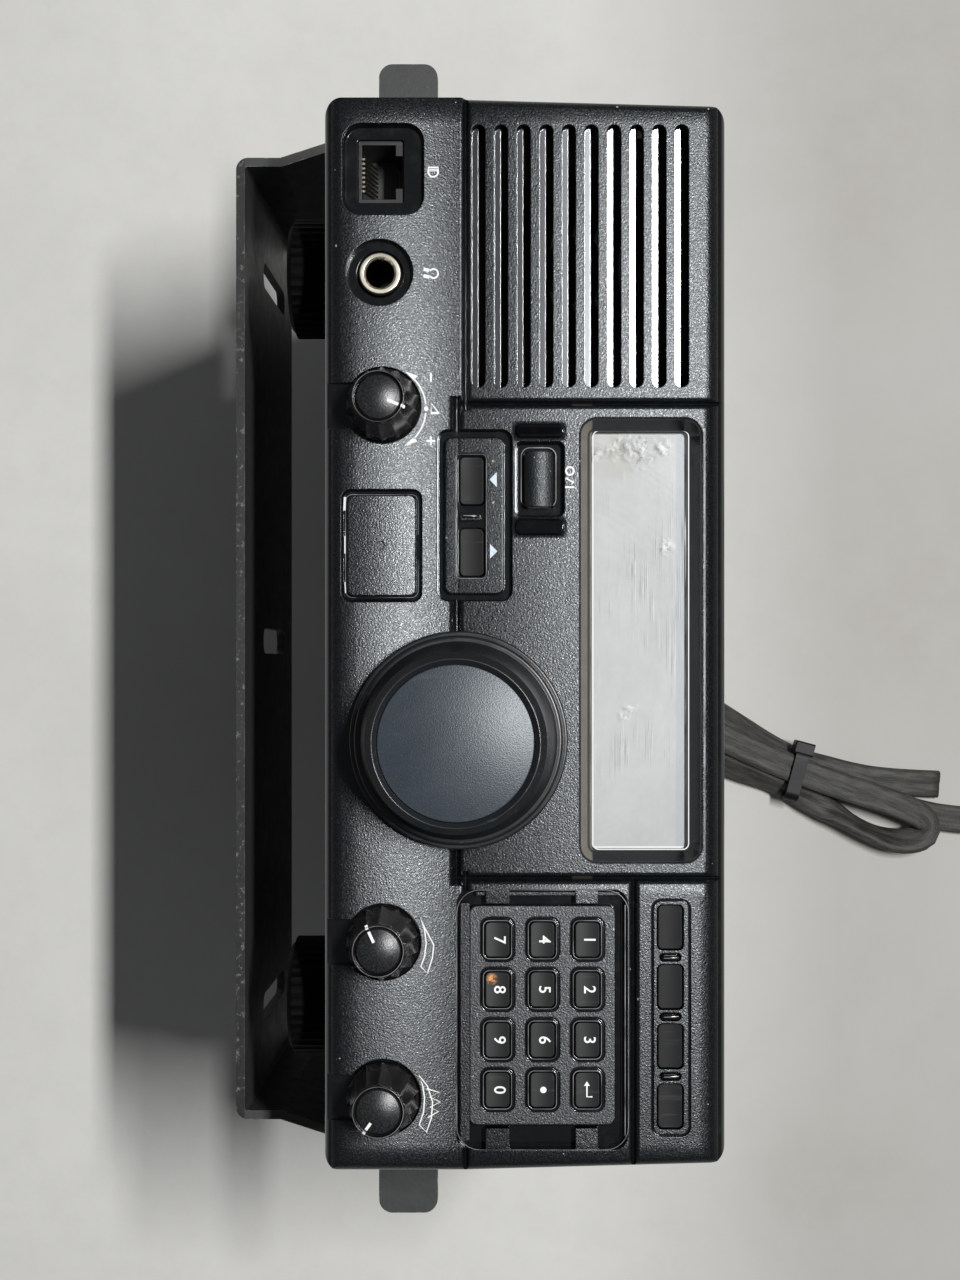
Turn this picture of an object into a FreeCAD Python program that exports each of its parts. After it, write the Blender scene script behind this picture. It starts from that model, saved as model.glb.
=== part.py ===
import FreeCAD, Part
import math
import os

# A mobile HF transceiver with its tilting U bracket, lying on its back as on a bench.
# X runs across the radio from left to right, Y from its bottom cover to its top cover, and
# Z out of the front panel. Z is 0 on the surface that the rear heat sinks lie on. Sizes in
# this file are in millimetres, with Y counted from the middle of the front panel; the last
# step moves everything up in Y, so that the origin is in the middle of the footprint.

V = FreeCAD.Vector

# Front panel
panel_w = 236.0
panel_h = 88.6
panel_corner = 4.0
panel_depth = 24.0
face_z = 238.0
skin = 4.0
skin_back = face_z - skin
panel_wall = 2.6
long_edge_r = 4.0
side_edge_r = 1.9
upper_taper = 1.6
band_top = -13.0
bay_left = -50.8
bay_right = 53.6
strip_low = 24.0
valley_half_w = 1.45
wide_valley_half_w = 1.75
valley_lip_r = 1.0
valley_slope = 60.0

# Loudspeaker grille
slot_count = 10
slot_first_y = -10.2
slot_pitch = 4.97
slot_w = 3.1
slot_x = (-112.1, -54.3)
shelf_top = skin_back + 1.2
shelf_fall = 0.25

# Display
lcd_x = (-44.8, 47.4)
lcd_y = (14.9, 36.2)
lcd_inset = 3.0
lcd_corner = 4.0
glass_t = 1.6

# Keypad
pad_x = (56.1, 113.3)
pad_y = (-14.9, 22.6)
pad_depth = 3.2
lug_x = [(55.5, 59.2), (108.7, 114.0)]
lug_y = [(-8.6, -3.4), (11.2, 16.1)]
lug_sink = 0.5
plate_x = (59.6, 108.3)
plate_y = (-12.4, 20.1)
plate_top = face_z - 1.2
key_cols = [67.2, 78.2, 89.3, 100.3]
key_rows = [13.8, 3.9, -6.0]
key_size = (7.5, 5.3)
key_rim = (9.1, 6.9)
key_names = [
    ["key_1", "key_2", "key_3", "key_enter"],
    ["key_4", "key_5", "key_6", "key_function"],
    ["key_7", "key_8", "key_9", "key_0"],
]

# Row of four buttons beside the keypad
strip_x = (58.1, 110.4)
strip_y = (27.8, 36.5)
strip_centres = [64.4, 77.5, 90.55, 103.75]
strip_size = (9.5, 5.3)
strip_mid_y = 32.0
strip_line_w = 0.55
strip_line_depth = 0.7
strip_sink = 0.5
pit_size = (1.9, 4.8)
pit_depth = 1.4
pit_bar_size = (0.9, 3.2)

# Up and down buttons, power button
rocker_well_x = (-44.8, -7.6)
rocker_well_y = (-19.0, -3.0)
rocker_depth = 2.0
island_x = (-43.4, -8.9)
island_y = (-17.6, -4.6)
island_sink = 0.3
rocker_window_x = (-39.9, -12.3)
rocker_window_y = (-15.1, -8.4)
rocker_window_depth = 1.5
rocker_mid_y = -11.65
rocker_size = (10.3, 5.2)
rocker_centres = {"down_button": -33.85, "up_button": -18.1}
rocker_sink = 0.6
rocker_bar_x = (-26.6, -25.1)
rocker_bar_y = (-14.3, -9.7)
power_x = (-42.0, -26.3)
power_y = (-1.7, 8.3)
power_depth = 2.6
power_size = (12.1, 6.5)
power_centre = (-34.1, 3.1)
guard_x = [(-46.2, -43.2), (-25.4, -21.9)]
guard_y = (-2.1, 8.6)
guard_h = 0.9

# Parts common to every push button
button_gap = 0.3
button_travel = 1.0
stem_r = 1.6
board_front = 223.6
board_t = 1.6
switch_h = 2.7

# Rotary controls
tuning_xy = (23.1, -14.4)
tuning_skirt_r = 23.8
tuning_rim_r = 18.9
tuning_inlay_r = 16.5
tuning_h = 21.6
knob_y = -31.2
knob_x = {"clarifier_knob": -50.4, "volume_knob": 67.6, "squelch_knob": 101.8}
knob_flutes = 14
knob_base_r = 7.9
knob_cusp_r = 8.2
knob_valley_r = 7.6
knob_top_share = 0.73
knob_ring_r = 5.6
knob_cap_r = 4.6
knob_h = 13.0
knob_well_r = 8.5
knob_well_depth = 1.6
scoop_half_w = 5.0
knob_float = 0.8
shaft_r = 3.0
shaft_fit = 0.05

# Sockets in the lower band
socket_recess = 2.2
mic_x = (-112.5, -92.2)
mic_y = (-40.2, -22.1)
mic_opening_x = (-109.4, -95.4)
mic_opening_y = (-36.9, -26.7)
mic_cavity = (12.0, 7.5)
mic_centre = (-102.4, -32.3)
phones_xy = (-79.6, -31.9)
phones_recess_r = 7.4
phones_hole_r = 3.2
blank_x = (-31.5, -7.6)
blank_y = (-39.9, -23.0)

# Case
case_half_w = 115.8
case_half_h = 43.0
sheet = 1.2
case_front = face_z - panel_depth
rear_wall_z = 30.0
rear_wall_t = 3.5
feet_x = 85.4
foot_r = 14.0
foot_h = 12.2
foot_neck = 1.8
foot_flutes = 40
foot_flute_depth = 0.25
front_foot_z = 204.0
rear_foot_z = 52.0
fin_t = 2.0
fin_pitch = 6.4
sink_base_t = 4.0
sink_half_h = 41.5
left_sink_x = (-114.0, -46.0)
right_sink_x = (56.0, 114.0)

# Bracket
steel = 2.2
bracket_half_w = 119.7
bracket_low_y = -71.8
bracket_z = (96.0, 186.0)
flare_low_y = -60.8
flare_high_y = -47.5
arm_half_w = 124.0
arm_top_y = 14.0
ear_half_w = 143.0
ear_y = (-36.2, -21.6)
pivot_y = -6.0
pivot_z = 152.0
lock_radius = 27.0
lock_swing = 11.0
screw_r = 2.5
base_slot_x = [-98.0, 0.0, 98.0]
base_slot_z = (112.0, 154.0)
base_slot_w = 6.8

# Leads: a flat twin lead is as wide as lead_w, and its plain tube is as thick as the lead
lead_w = 10.0
lead_t = 4.0
coil_turns = 4.5
coil_inner_r = 44.5
coil_pitch = 4.6
coil_centre = (-2.4, 226.0)
coil_tail_r = 24.0
gland_xy = {"power": (-6.0, -22.0), "accessory": (-22.0, -9.0)}
gland_h = 9.0
tie_xy = (43.3, 94.9)
tie_turn = -15.0

# Everything moves by this much in Y at the end
footprint_shift = (-bracket_low_y - panel_h / 2) / 2


def box(x, y, z):
    """A box from pairs of limits."""
    return Part.makeBox(x[1] - x[0], y[1] - y[0], z[1] - z[0], V(x[0], y[0], z[0]))


def rod(x, y, z, r):
    """A cylinder along Z between two heights."""
    return Part.makeCylinder(r, z[1] - z[0], V(x, y, z[0]))


def side_rod(y, z, x, r):
    """A cylinder along X between two places across the radio."""
    return Part.makeCylinder(r, x[1] - x[0], V(x[0], y, z), V(1, 0, 0))


def round_rect(x, y, r, z):
    """A rectangle with rounded corners, as a wire at one height."""
    x0, x1 = x
    y0, y1 = y
    k = r * (1 - math.sqrt(0.5))
    edges = [
        Part.LineSegment(V(x0 + r, y0, z), V(x1 - r, y0, z)),
        Part.Arc(V(x1 - r, y0, z), V(x1 - k, y0 + k, z), V(x1, y0 + r, z)),
        Part.LineSegment(V(x1, y0 + r, z), V(x1, y1 - r, z)),
        Part.Arc(V(x1, y1 - r, z), V(x1 - k, y1 - k, z), V(x1 - r, y1, z)),
        Part.LineSegment(V(x1 - r, y1, z), V(x0 + r, y1, z)),
        Part.Arc(V(x0 + r, y1, z), V(x0 + k, y1 - k, z), V(x0, y1 - r, z)),
        Part.LineSegment(V(x0, y1 - r, z), V(x0, y0 + r, z)),
        Part.Arc(V(x0, y0 + r, z), V(x0 + k, y0 + k, z), V(x0 + r, y0, z)),
    ]
    return Part.Wire([e.toShape() for e in edges])


def grown(limits, by):
    """A pair of limits moved apart by the same amount at both ends."""
    return (limits[0] - by, limits[1] + by)


def about(centre, size):
    """Limits of a given size about a centre."""
    return (centre - size / 2, centre + size / 2)


def pad(x, y, r, z):
    """A rounded rectangle drawn out between two heights."""
    return Part.Face(round_rect(x, y, r, z[0])).extrude(V(0, 0, z[1] - z[0]))


def funnel(x, y, r, z_low, z_high, inset):
    """A well whose rounded walls lean outwards by inset from its floor to its mouth."""
    low = round_rect(x, y, max(r - inset, 0.4), z_low)
    high = round_rect(grown(x, inset), grown(y, inset), r, z_high)
    return Part.makeLoft([low, high], True, True)


def revolve(profile, x=0.0, y=0.0, z=0.0):
    """Turns a closed outline of (radius, height) points about a vertical axis. A third
    number in a point is how far the line to the next point bows to its left."""
    edges = []
    for here, after in zip(profile, profile[1:] + profile[:1]):
        a, b = V(here[0], 0, here[1]), V(after[0], 0, after[1])
        if len(here) == 3:
            across = V(a.z - b.z, 0, b.x - a.x).normalize()
            edges.append(Part.Arc(a, (a + b) * 0.5 + across * here[2], b).toShape())
        else:
            edges.append(Part.LineSegment(a, b).toShape())
    shape = Part.Face(Part.Wire(edges)).revolve(V(0, 0, 0), V(0, 0, 1), 360)
    shape.translate(V(x, y, z))
    return shape


def dome_bow(r, rise):
    """How far a dome's outline, from its edge to its level top, bows out of its chord."""
    big_r = (r * r + rise * rise) / (2 * rise)
    half_chord = math.hypot(r, rise) / 2
    return big_r - math.sqrt(big_r**2 - half_chord**2)


def edges_where(shape, test):
    """The edges whose ends and middle all pass a test."""
    found = []
    for edge in shape.Edges:
        a, b = edge.ParameterRange
        if all(test(edge.valueAt(t)) for t in (a, (a + b) / 2, b)):
            found.append(edge)
    return found


def softened(shape, r, z):
    """Rounds the edges of a shape that lie at one height."""
    return shape.makeFillet(r, edges_where(shape, lambda p: abs(p.z - z) < 1e-4))


def panel_outline():
    """The outline of the front panel: the lower band is full width, and the part above
    its groove narrows a little towards the top."""
    w, h, r = panel_w / 2, panel_h / 2, panel_corner
    t = w - upper_taper
    k = r * (1 - math.sqrt(0.5))
    right = [
        Part.Arc(V(w - r, -h, 0), V(w - k, -h + k, 0), V(w, -h + r, 0)),
        Part.LineSegment(V(w, -h + r, 0), V(w, band_top, 0)),
        Part.LineSegment(V(w, band_top, 0), V(t, h - r, 0)),
        Part.Arc(V(t, h - r, 0), V(t - k, h - k, 0), V(t - r, h, 0)),
    ]
    left = [
        Part.Arc(V(-t + r, h, 0), V(-t + k, h - k, 0), V(-t, h - r, 0)),
        Part.LineSegment(V(-t, h - r, 0), V(-w, band_top, 0)),
        Part.LineSegment(V(-w, band_top, 0), V(-w, -h + r, 0)),
        Part.Arc(V(-w, -h + r, 0), V(-w + k, -h + k, 0), V(-w + r, -h, 0)),
    ]
    top = Part.LineSegment(V(t - r, h, 0), V(-t + r, h, 0))
    bottom = Part.LineSegment(V(-w + r, -h, 0), V(w - r, -h, 0))
    return Part.Wire([e.toShape() for e in right + [top] + left + [bottom]])


def valley(start, end, half_w=valley_half_w):
    """The cutter for a valley in the face: two slopes that meet, with rounded lips."""
    run = end - start
    across = V(-run.y, run.x, 0).normalize()
    top = face_z + 0.01
    slope = math.radians(valley_slope)
    lip = valley_lip_r

    def at(s, z):
        return start + across * s + V(0, 0, top - z)

    def lip_point(side, angle):
        return at(side * (half_w - lip * math.sin(angle)), lip * (1 - math.cos(angle)))

    left = [lip_point(-1, angle) for angle in (0, slope / 2, slope)]
    right = [lip_point(1, angle) for angle in (0, slope / 2, slope)]
    inner = half_w - lip * math.sin(slope)
    low = at(0, lip * (1 - math.cos(slope)) + inner * math.tan(slope))
    edges = [
        Part.Arc(*left),
        Part.LineSegment(left[2], low),
        Part.LineSegment(low, right[2]),
        Part.Arc(*right[::-1]),
        Part.LineSegment(right[0], left[0]),
    ]
    return Part.Face(Part.Wire([e.toShape() for e in edges])).extrude(run)


def panel_valleys():
    """The valleys that part the face into the lower band, the loudspeaker grille, the
    display, the keypad and the button strip. The well of the up and down buttons
    interrupts the wide one."""
    w = panel_w / 2 + 1
    h = panel_h / 2 + 1
    low = band_top - 2.0
    lap = 1.6
    well_left, well_right = grown(rocker_well_x, -0.6)
    return [
        valley(V(-w, band_top, 0), V(bay_left + lap, band_top, 0)),
        valley(V(bay_left - lap, low, 0), V(well_left, low, 0), wide_valley_half_w),
        valley(V(well_right, low, 0), V(bay_right + lap, low, 0), wide_valley_half_w),
        valley(V(bay_right - lap, band_top, 0), V(w, band_top, 0)),
        valley(V(bay_left, low, 0), V(bay_left, h, 0)),
        valley(V(bay_right, low, 0), V(bay_right, h, 0)),
        valley(V(bay_right, strip_low, 0), V(w, strip_low, 0)),
    ]


def edge_rounding(start, end, r):
    """The cutter that rounds one straight edge of the face. The panel lies on the left of
    the way from start to end."""
    run = end - start
    inward = V(-run.y, run.x, 0).normalize()
    corner = V(0, 0, face_z)
    k = r * (1 - math.sqrt(0.5))
    low = start + corner - V(0, 0, r)
    high = start + corner + inward * r
    mid = start + corner + inward * k - V(0, 0, k)
    beyond = start - inward * r
    edges = [
        Part.Arc(low, mid, high),
        Part.LineSegment(high, high + V(0, 0, r)),
        Part.LineSegment(high + V(0, 0, r), beyond + corner + V(0, 0, r)),
        Part.LineSegment(beyond + corner + V(0, 0, r), beyond + corner - V(0, 0, r)),
        Part.LineSegment(beyond + corner - V(0, 0, r), low),
    ]
    return Part.Face(Part.Wire([e.toShape() for e in edges])).extrude(run)


def edge_roundings():
    """The cutters for all the edges of the face: large ones along the top and bottom, and
    small ones up the sides."""
    w, h, t = panel_w / 2, panel_h / 2, panel_w / 2 - upper_taper
    return [
        edge_rounding(V(-w - 1, -h, 0), V(w + 1, -h, 0), long_edge_r),
        edge_rounding(V(w + 1, h, 0), V(-w - 1, h, 0), long_edge_r),
        edge_rounding(V(w, -h - 1, 0), V(w, band_top, 0), side_edge_r),
        edge_rounding(V(w, band_top, 0), V(t, h + 1, 0), side_edge_r),
        edge_rounding(V(-t, h + 1, 0), V(-w, band_top, 0), side_edge_r),
        edge_rounding(V(-w, band_top, 0), V(-w, -h - 1, 0), side_edge_r),
    ]


def grille_slot(y):
    """The cutter for one slot of the grille, which leaves a sloping shelf along its lower
    half to keep dust off the loudspeaker."""
    slot = pad(slot_x, about(y, slot_w), slot_w / 2 - 0.01, (skin_back - 1, face_z + 1))
    wall = y - slot_w / 2
    points = [
        V(slot_x[0], wall - 0.05, skin_back),
        V(slot_x[0], y, skin_back),
        V(slot_x[0], y, shelf_top - shelf_fall),
        V(slot_x[0], wall - 0.05, shelf_top),
    ]
    shelf = Part.Face(Part.makePolygon(points + points[:1]))
    return slot.cut(shelf.extrude(V(slot_x[1] - slot_x[0], 0, 0)))


def display_cutters():
    """The display's bevelled well, and its opening through the skin."""
    well = funnel(lcd_x, lcd_y, lcd_corner, skin_back, face_z + 0.01, lcd_inset)
    return [well, pad(lcd_x, lcd_y, lcd_corner - lcd_inset, (skin_back - 1, face_z))]


def keypad_cutters():
    """The keypad's well round four lugs for a clip-on cover, and the opening under the
    keypad plate."""
    well = pad(pad_x, pad_y, 3.0, (face_z - pad_depth, face_z + 1))
    for x in lug_x:
        for y in lug_y:
            well = well.cut(box(x, y, (face_z - pad_depth - 1, face_z - lug_sink)))
    opening = pad(grown(plate_x, -1), grown(plate_y, -1), 1, (skin_back - 1, face_z))
    return [well, opening]


def strip_cutters():
    """The sunk line round the four buttons beside the keypad, the buttons' openings, and
    a small pit with a bar in it between each two."""
    z = (face_z - strip_line_depth, face_z + 1)
    line = pad(strip_x, strip_y, 2.2, z)
    inside = pad(grown(strip_x, -strip_line_w), grown(strip_y, -strip_line_w), 1.7, grown(z, 1))
    cuts = [line.cut(inside)]
    for x in strip_centres:
        cuts.append(button_hole(x, strip_mid_y, strip_size))
    for left, right in zip(strip_centres, strip_centres[1:]):
        x = (left + right) / 2
        low = face_z - pit_depth
        w, h = pit_size
        pit = pad(about(x, w), about(strip_mid_y, h), w / 2 - 0.01, (low, face_z + 1))
        w, h = pit_bar_size
        bar = pad(about(x, w), about(strip_mid_y, h), w / 2 - 0.01, (low - 1, face_z - 0.35))
        cuts.append(pit.cut(bar))
    return cuts


def rocker_cutters():
    """The well of the up and down buttons, round an island with a window in it. A bar
    stands between the two buttons."""
    low, top = face_z - rocker_depth, face_z + 0.01
    well = funnel(rocker_well_x, rocker_well_y, 2.4, low, top, 0.3)
    island_top = face_z - island_sink
    island = softened(pad(island_x, island_y, 1.6, (low - 1, island_top)), 0.4, island_top)
    window_z = (face_z - rocker_window_depth, face_z)
    window = pad(rocker_window_x, rocker_window_y, 1.2, window_z)
    bar = pad(rocker_bar_x, rocker_bar_y, 0.7, (low, face_z - 0.5))
    cuts = [well.cut(island), window.cut(bar)]
    for x in rocker_centres.values():
        cuts.append(button_hole(x, rocker_mid_y, rocker_size))
    return cuts


def power_cutters():
    """The power button's recess and opening."""
    recess = funnel(power_x, power_y, 1.6, face_z - power_depth, face_z + 0.01, 0.5)
    return [recess, button_hole(*power_centre, power_size)]


def knob_cutters():
    """The small knobs' wells, with a trough under each for a fingertip, and the openings
    for every spindle."""
    cuts = []
    z = (face_z - knob_well_depth, face_z + 1)
    for x in knob_x.values():
        cuts.append(rod(x, knob_y, z, knob_well_r))
        cuts.append(rod(x, knob_y, (skin_back - 1, face_z), 4.6))
        cuts.append(box(about(x, 2 * scoop_half_w), (-panel_h / 2 - 1, knob_y), z))
    cuts.append(rod(*tuning_xy, (skin_back - 1, face_z + 1), 5.1))
    return cuts


def socket_cutters():
    """The recesses and openings of the sockets in the lower band, and the recess of the
    blank cover."""
    low, top = face_z - socket_recess, face_z + 0.01
    return [
        funnel(grown(mic_x, -0.6), grown(mic_y, -0.6), 4.2, low, top, 0.6),
        pad(mic_opening_x, mic_opening_y, 0.6, (skin_back - 1, face_z)),
        rod(*phones_xy, (low, face_z + 1), phones_recess_r),
        rod(*phones_xy, (skin_back - 1, face_z), 5.2),
        funnel(blank_x, blank_y, 2.2, face_z - 1.0, top, 0.5),
    ]


def front_panel():
    """The moulded front: a thick face with its wells, and a skirt behind it."""
    body = Part.Face(panel_outline()).extrude(V(0, 0, panel_depth))
    body.translate(V(0, 0, case_front))
    inner_w = panel_w / 2 - panel_wall - upper_taper
    inner_h = panel_h / 2 - panel_wall
    hollow = pad((-inner_w, inner_w), (-inner_h, inner_h), 2.0, (case_front - 1, skin_back))
    cuts = [hollow] + edge_roundings() + panel_valleys()
    for i in range(slot_count):
        cuts.append(grille_slot(slot_first_y + i * slot_pitch))
    cuts += display_cutters() + keypad_cutters() + strip_cutters()
    cuts += rocker_cutters() + power_cutters() + knob_cutters() + socket_cutters()
    for cutter in cuts:
        body = body.cut(cutter)
    for x in guard_x:
        guard = pad(x, guard_y, 1.3, (face_z - 1.5, face_z + guard_h))
        body = body.fuse(softened(guard, 0.8, face_z + guard_h))
    return body.removeSplitter()


def button_hole(x, y, size):
    """The cutter of a button's opening through the face."""
    hole = (size[0] + 2 * button_gap, size[1] + 2 * button_gap)
    z = (skin_back - 1, face_z + 1)
    return pad(about(x, hole[0]), about(y, hole[1]), 1.2, z)


def push_button(x, y, size, top, under, dish=0.35):
    """A moulded button: a dished cap, a flange that keeps it behind its opening, and a
    stem that meets the switch on the control board."""
    w, h = size
    cap = pad(about(x, w), about(y, h), 1.0, (under - 0.6, top))
    cap = softened(cap, 0.3, top)
    r = (h * h / 4 + dish * dish) / (2 * dish)
    hollow = side_rod(y, top + r - dish, (x - w, x + w), r)
    cap = cap.cut(hollow)
    flange = pad(about(x, w + 1.3), about(y, h + 1.3), 1.2, (under - 1.0, under - 0.05))
    stem_low = board_front + switch_h + button_travel + 0.15
    stem = rod(x, y, (stem_low, under - 0.5), stem_r)
    return cap.fuse([flange, stem]).removeSplitter()


def keypad_plate():
    """The plate in the keypad well, with a raised rim round each key."""
    z = (face_z - pad_depth, plate_top)
    plate = softened(pad(plate_x, plate_y, 1.9, z), 0.5, plate_top)
    for y in key_rows:
        for x in key_cols:
            ring_x, ring_y = about(x, key_rim[0]), about(y, key_rim[1])
            moat_z = (plate_top - 0.4, plate_top + 1)
            moat = pad(grown(ring_x, 0.45), grown(ring_y, 0.45), 2.1, moat_z)
            rim = pad(ring_x, ring_y, 1.8, (plate_top - 0.5, plate_top + 0.25))
            hole = (key_size[0] + 2 * button_gap, key_size[1] + 2 * button_gap)
            hole_z = (z[0] - 1, plate_top + 1)
            key_hole = pad(about(x, hole[0]), about(y, hole[1]), 1.3, hole_z)
            plate = plate.cut(moat).fuse(rim).cut(key_hole)
    return plate.removeSplitter()


def power_button():
    """A long button with a barrel-shaped top."""
    x, y = power_centre
    w, h = power_size
    top = face_z + 0.9
    blank = pad(about(x, w), about(y, h), 0.8, (skin_back - 0.6, top))
    barrel = Part.makeCylinder(4.6, w, V(x - w / 2, y, top - 4.6), V(1, 0, 0))
    lower = box(about(x, w), about(y, h), (skin_back - 0.6, top - 2.2))
    cap = blank.common(barrel.fuse(lower))
    flange = pad(about(x, w + 1.4), about(y, h + 1.4), 1.0, (skin_back - 1.0, skin_back - 0.05))
    stem_low = board_front + switch_h + button_travel + 0.15
    stem = rod(x, y, (stem_low, skin_back - 0.5), stem_r)
    return cap.fuse([flange, stem]).removeSplitter()


def tuning_knob():
    """The main dial: a stepped skirt, a coved barrel and a raised rim round its inlay."""
    r, rim, top = tuning_skirt_r, tuning_rim_r, tuning_h
    profile = [
        (shaft_r, 1.2),
        (r - 1.0, 1.2, -0.25),
        (r, 1.9),
        (r, 3.2, -0.2),
        (r - 0.5, 3.8),
        (r - 1.0, 3.8),
        (r - 1.1, 4.6, -0.2),
        (r - 1.8, 5.2),
        (r - 2.3, 5.2),
        (rim + 1.3, 8.6, 0.7),
        (rim + 0.2, top - 1.2),
        (rim - 1.0, top, -0.2),
        (rim - 1.6, top),
        (rim - 2.2, top - 0.6, -0.15),
        (rim - 2.2, top - 2.6),
        (shaft_r, top - 2.6),
    ]
    return revolve(profile, *tuning_xy, face_z)


def tuning_inlay():
    """The smooth domed disc let into the top of the dial."""
    r = tuning_inlay_r
    low, edge, middle = tuning_h - 2.6, tuning_h - 1.3, tuning_h + 0.2
    inner_r = r - 0.3
    profile = [
        (0, low),
        (r, low),
        (r, edge - 0.3, -0.08),
        (inner_r, edge, -dome_bow(inner_r, middle - edge)),
        (0, middle),
    ]
    return revolve(profile, *tuning_xy, face_z)


def tuning_shaft():
    """The steel spindle of the dial, which turns in the encoder's bush."""
    shaft = rod(*tuning_xy, (board_front + 3.0, face_z + tuning_h - 2.6), shaft_r)
    collar = rod(*tuning_xy, (face_z + 0.4, face_z + 1.2), 5.0)
    return shaft.fuse(collar).removeSplitter()


def tuning_encoder():
    """The encoder that the dial turns, with its threaded bush and nut."""
    x, y = tuning_xy
    can = pad(about(x, 22), about(y, 22), 3, (board_front, skin_back - 2.4))
    bush = rod(x, y, (skin_back - 3, face_z), 4.8)
    nut = prism(x, y, 6.4, 6, (skin_back - 2.4, skin_back))
    bore = rod(x, y, (board_front + 2.0, face_z + 1), shaft_r + shaft_fit)
    return can.fuse([bush, nut]).cut(bore).removeSplitter()


def prism(x, y, r, sides, z):
    """A regular prism along Z, such as a hexagon nut."""
    points = []
    for i in range(sides + 1):
        a = 2 * math.pi * i / sides
        points.append(V(x + r * math.cos(a), y + r * math.sin(a), z[0]))
    return Part.Face(Part.makePolygon(points)).extrude(V(0, 0, z[1] - z[0]))


def scalloped(cusp_r, valley_r, count, z):
    """A ring of hollow flutes with sharp ridges between them, as a wire."""
    edges = []
    for i in range(count):
        a0 = 2 * math.pi * i / count
        a1 = 2 * math.pi * (i + 1) / count
        mid = (a0 + a1) / 2
        start = V(cusp_r * math.cos(a0), cusp_r * math.sin(a0), z)
        low = V(valley_r * math.cos(mid), valley_r * math.sin(mid), z)
        end = V(cusp_r * math.cos(a1), cusp_r * math.sin(a1), z)
        edges.append(Part.Arc(start, low, end).toShape())
    return Part.Wire(edges)


def small_knob(name):
    """A fluted control knob on its spindle, with a thin ring round a sunk, domed cap."""
    x = knob_x[name]
    share = knob_top_share
    low = scalloped(knob_cusp_r, knob_valley_r, knob_flutes, 1.2)
    high = scalloped(knob_cusp_r * share, knob_valley_r * share, knob_flutes, knob_h - 1.0)
    barrel = Part.makeLoft([low, high], True, True)
    ring, cap, top = knob_ring_r, knob_cap_r, knob_h
    body = revolve(
        [
            (0, knob_float - 1.6),
            (knob_base_r - 0.6, knob_float - 1.6),
            (knob_base_r, knob_float - 1.0),
            (knob_base_r, 1.0),
            (knob_base_r - 0.7, 1.7),
            (knob_valley_r * share - 0.4, top - 1.1),
            (ring, top - 1.1),
            (ring, top - 0.2, -0.06),
            (ring - 0.2, top),
            (ring - 0.35, top),
            (ring - 0.4, top - 1.1),
            (cap, top - 0.4, -dome_bow(cap, 0.5)),
            (0, top + 0.1),
        ]
    )
    spindle = rod(0, 0, (board_front + 3.5 - face_z, 0.5), shaft_r)
    knob = barrel.fuse([body, spindle]).removeSplitter()
    knob.translate(V(x, knob_y, face_z))
    return knob


def control_pots():
    """The three potentiometers behind the small knobs, with their nuts and bushes."""
    pots = []
    for x in knob_x.values():
        can = rod(x, knob_y, (board_front, skin_back - 2.2), 7.5)
        bush = rod(x, knob_y, (skin_back - 3, face_z - 1.8), 4.3)
        nut = prism(x, knob_y, 6.0, 6, (skin_back - 2.2, skin_back))
        bore = rod(x, knob_y, (board_front + 2.6, face_z), shaft_r + shaft_fit)
        pots.append(can.fuse([bush, nut]).cut(bore).removeSplitter())
    return Part.makeCompound(pots)


def mic_socket():
    """The eight-way modular socket: a block with the plug's cavity, and a notch above it
    for the latch."""
    x, y = mic_centre
    w, h = mic_cavity
    block = box(about(x, 16.4), about(y + 0.4, 14.6), (212.0, skin_back))
    nose = pad(about(x, 13.8), (y - 4.5, y + 5.5), 0.5, (skin_back - 1, skin_back + 0.9))
    cavity = box(about(x, w), about(y, h), (221.0, face_z))
    notch = box(about(x, 7.2), (y + h / 2 - 0.1, y + h / 2 + 1.5), (224.0, face_z))
    return block.fuse(nose).cut(cavity).cut(notch).removeSplitter()


def mic_contacts():
    """Eight sprung wires that lean into the cavity of the modular socket."""
    x, y = mic_centre
    wires = []
    wall = y - mic_cavity[1] / 2
    for i in range(8):
        at = x + (i - 3.5) * 1.02
        path = [
            V(at - 0.22, wall, 232.6),
            V(at - 0.22, wall + 0.5, 232.6),
            V(at - 0.22, wall + 2.7, 223.6),
            V(at - 0.22, wall + 2.3, 223.4),
            V(at - 0.22, wall, 231.6),
        ]
        face = Part.Face(Part.makePolygon(path + path[:1]))
        wires.append(face.extrude(V(0.44, 0, 0)))
    return Part.makeCompound(wires)


def phones_socket():
    """The headphone socket: a bright collar and barrel in front of its moulded body."""
    profile = [
        (phones_hole_r, 212.0),
        (6.5, 212.0),
        (6.5, skin_back - 0.05),
        (4.65, skin_back - 0.05),
        (4.65, face_z - 1.3, -0.08),
        (4.35, face_z - 0.9),
        (3.6, face_z - 0.9, 0.06),
        (phones_hole_r, face_z - 1.3),
    ]
    return revolve(profile, *phones_xy)


def blank_cover():
    """The plain plate that closes an unused opening, with a small dimple."""
    top = face_z + 0.15
    plate = pad(grown(blank_x, -0.85), grown(blank_y, -0.85), 1.5, (face_z - 1.0, top))
    plate = softened(plate, 0.35, top)
    return plate.cut(rod(-19.6, -31.7, (face_z - 0.4, face_z + 1), 0.9))


def display_window():
    """The clear window behind the display's opening."""
    return pad(grown(lcd_x, 2.0), grown(lcd_y, 2.0), 1.0, (skin_back - glass_t, skin_back))


def display_module():
    """The liquid crystal display in its tray, standing on the control board."""
    top = skin_back - glass_t
    tray = box(grown(lcd_x, 3.0), grown(lcd_y, 2.2), (board_front, top - 0.9))
    glass = box(grown(lcd_x, 0.8), grown(lcd_y, 0.8), (top - 0.9, top))
    pocket = box(grown(lcd_x, -3), grown(lcd_y, -3), (board_front - 1, board_front + 3))
    return tray.fuse(glass).cut(pocket).removeSplitter()


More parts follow.
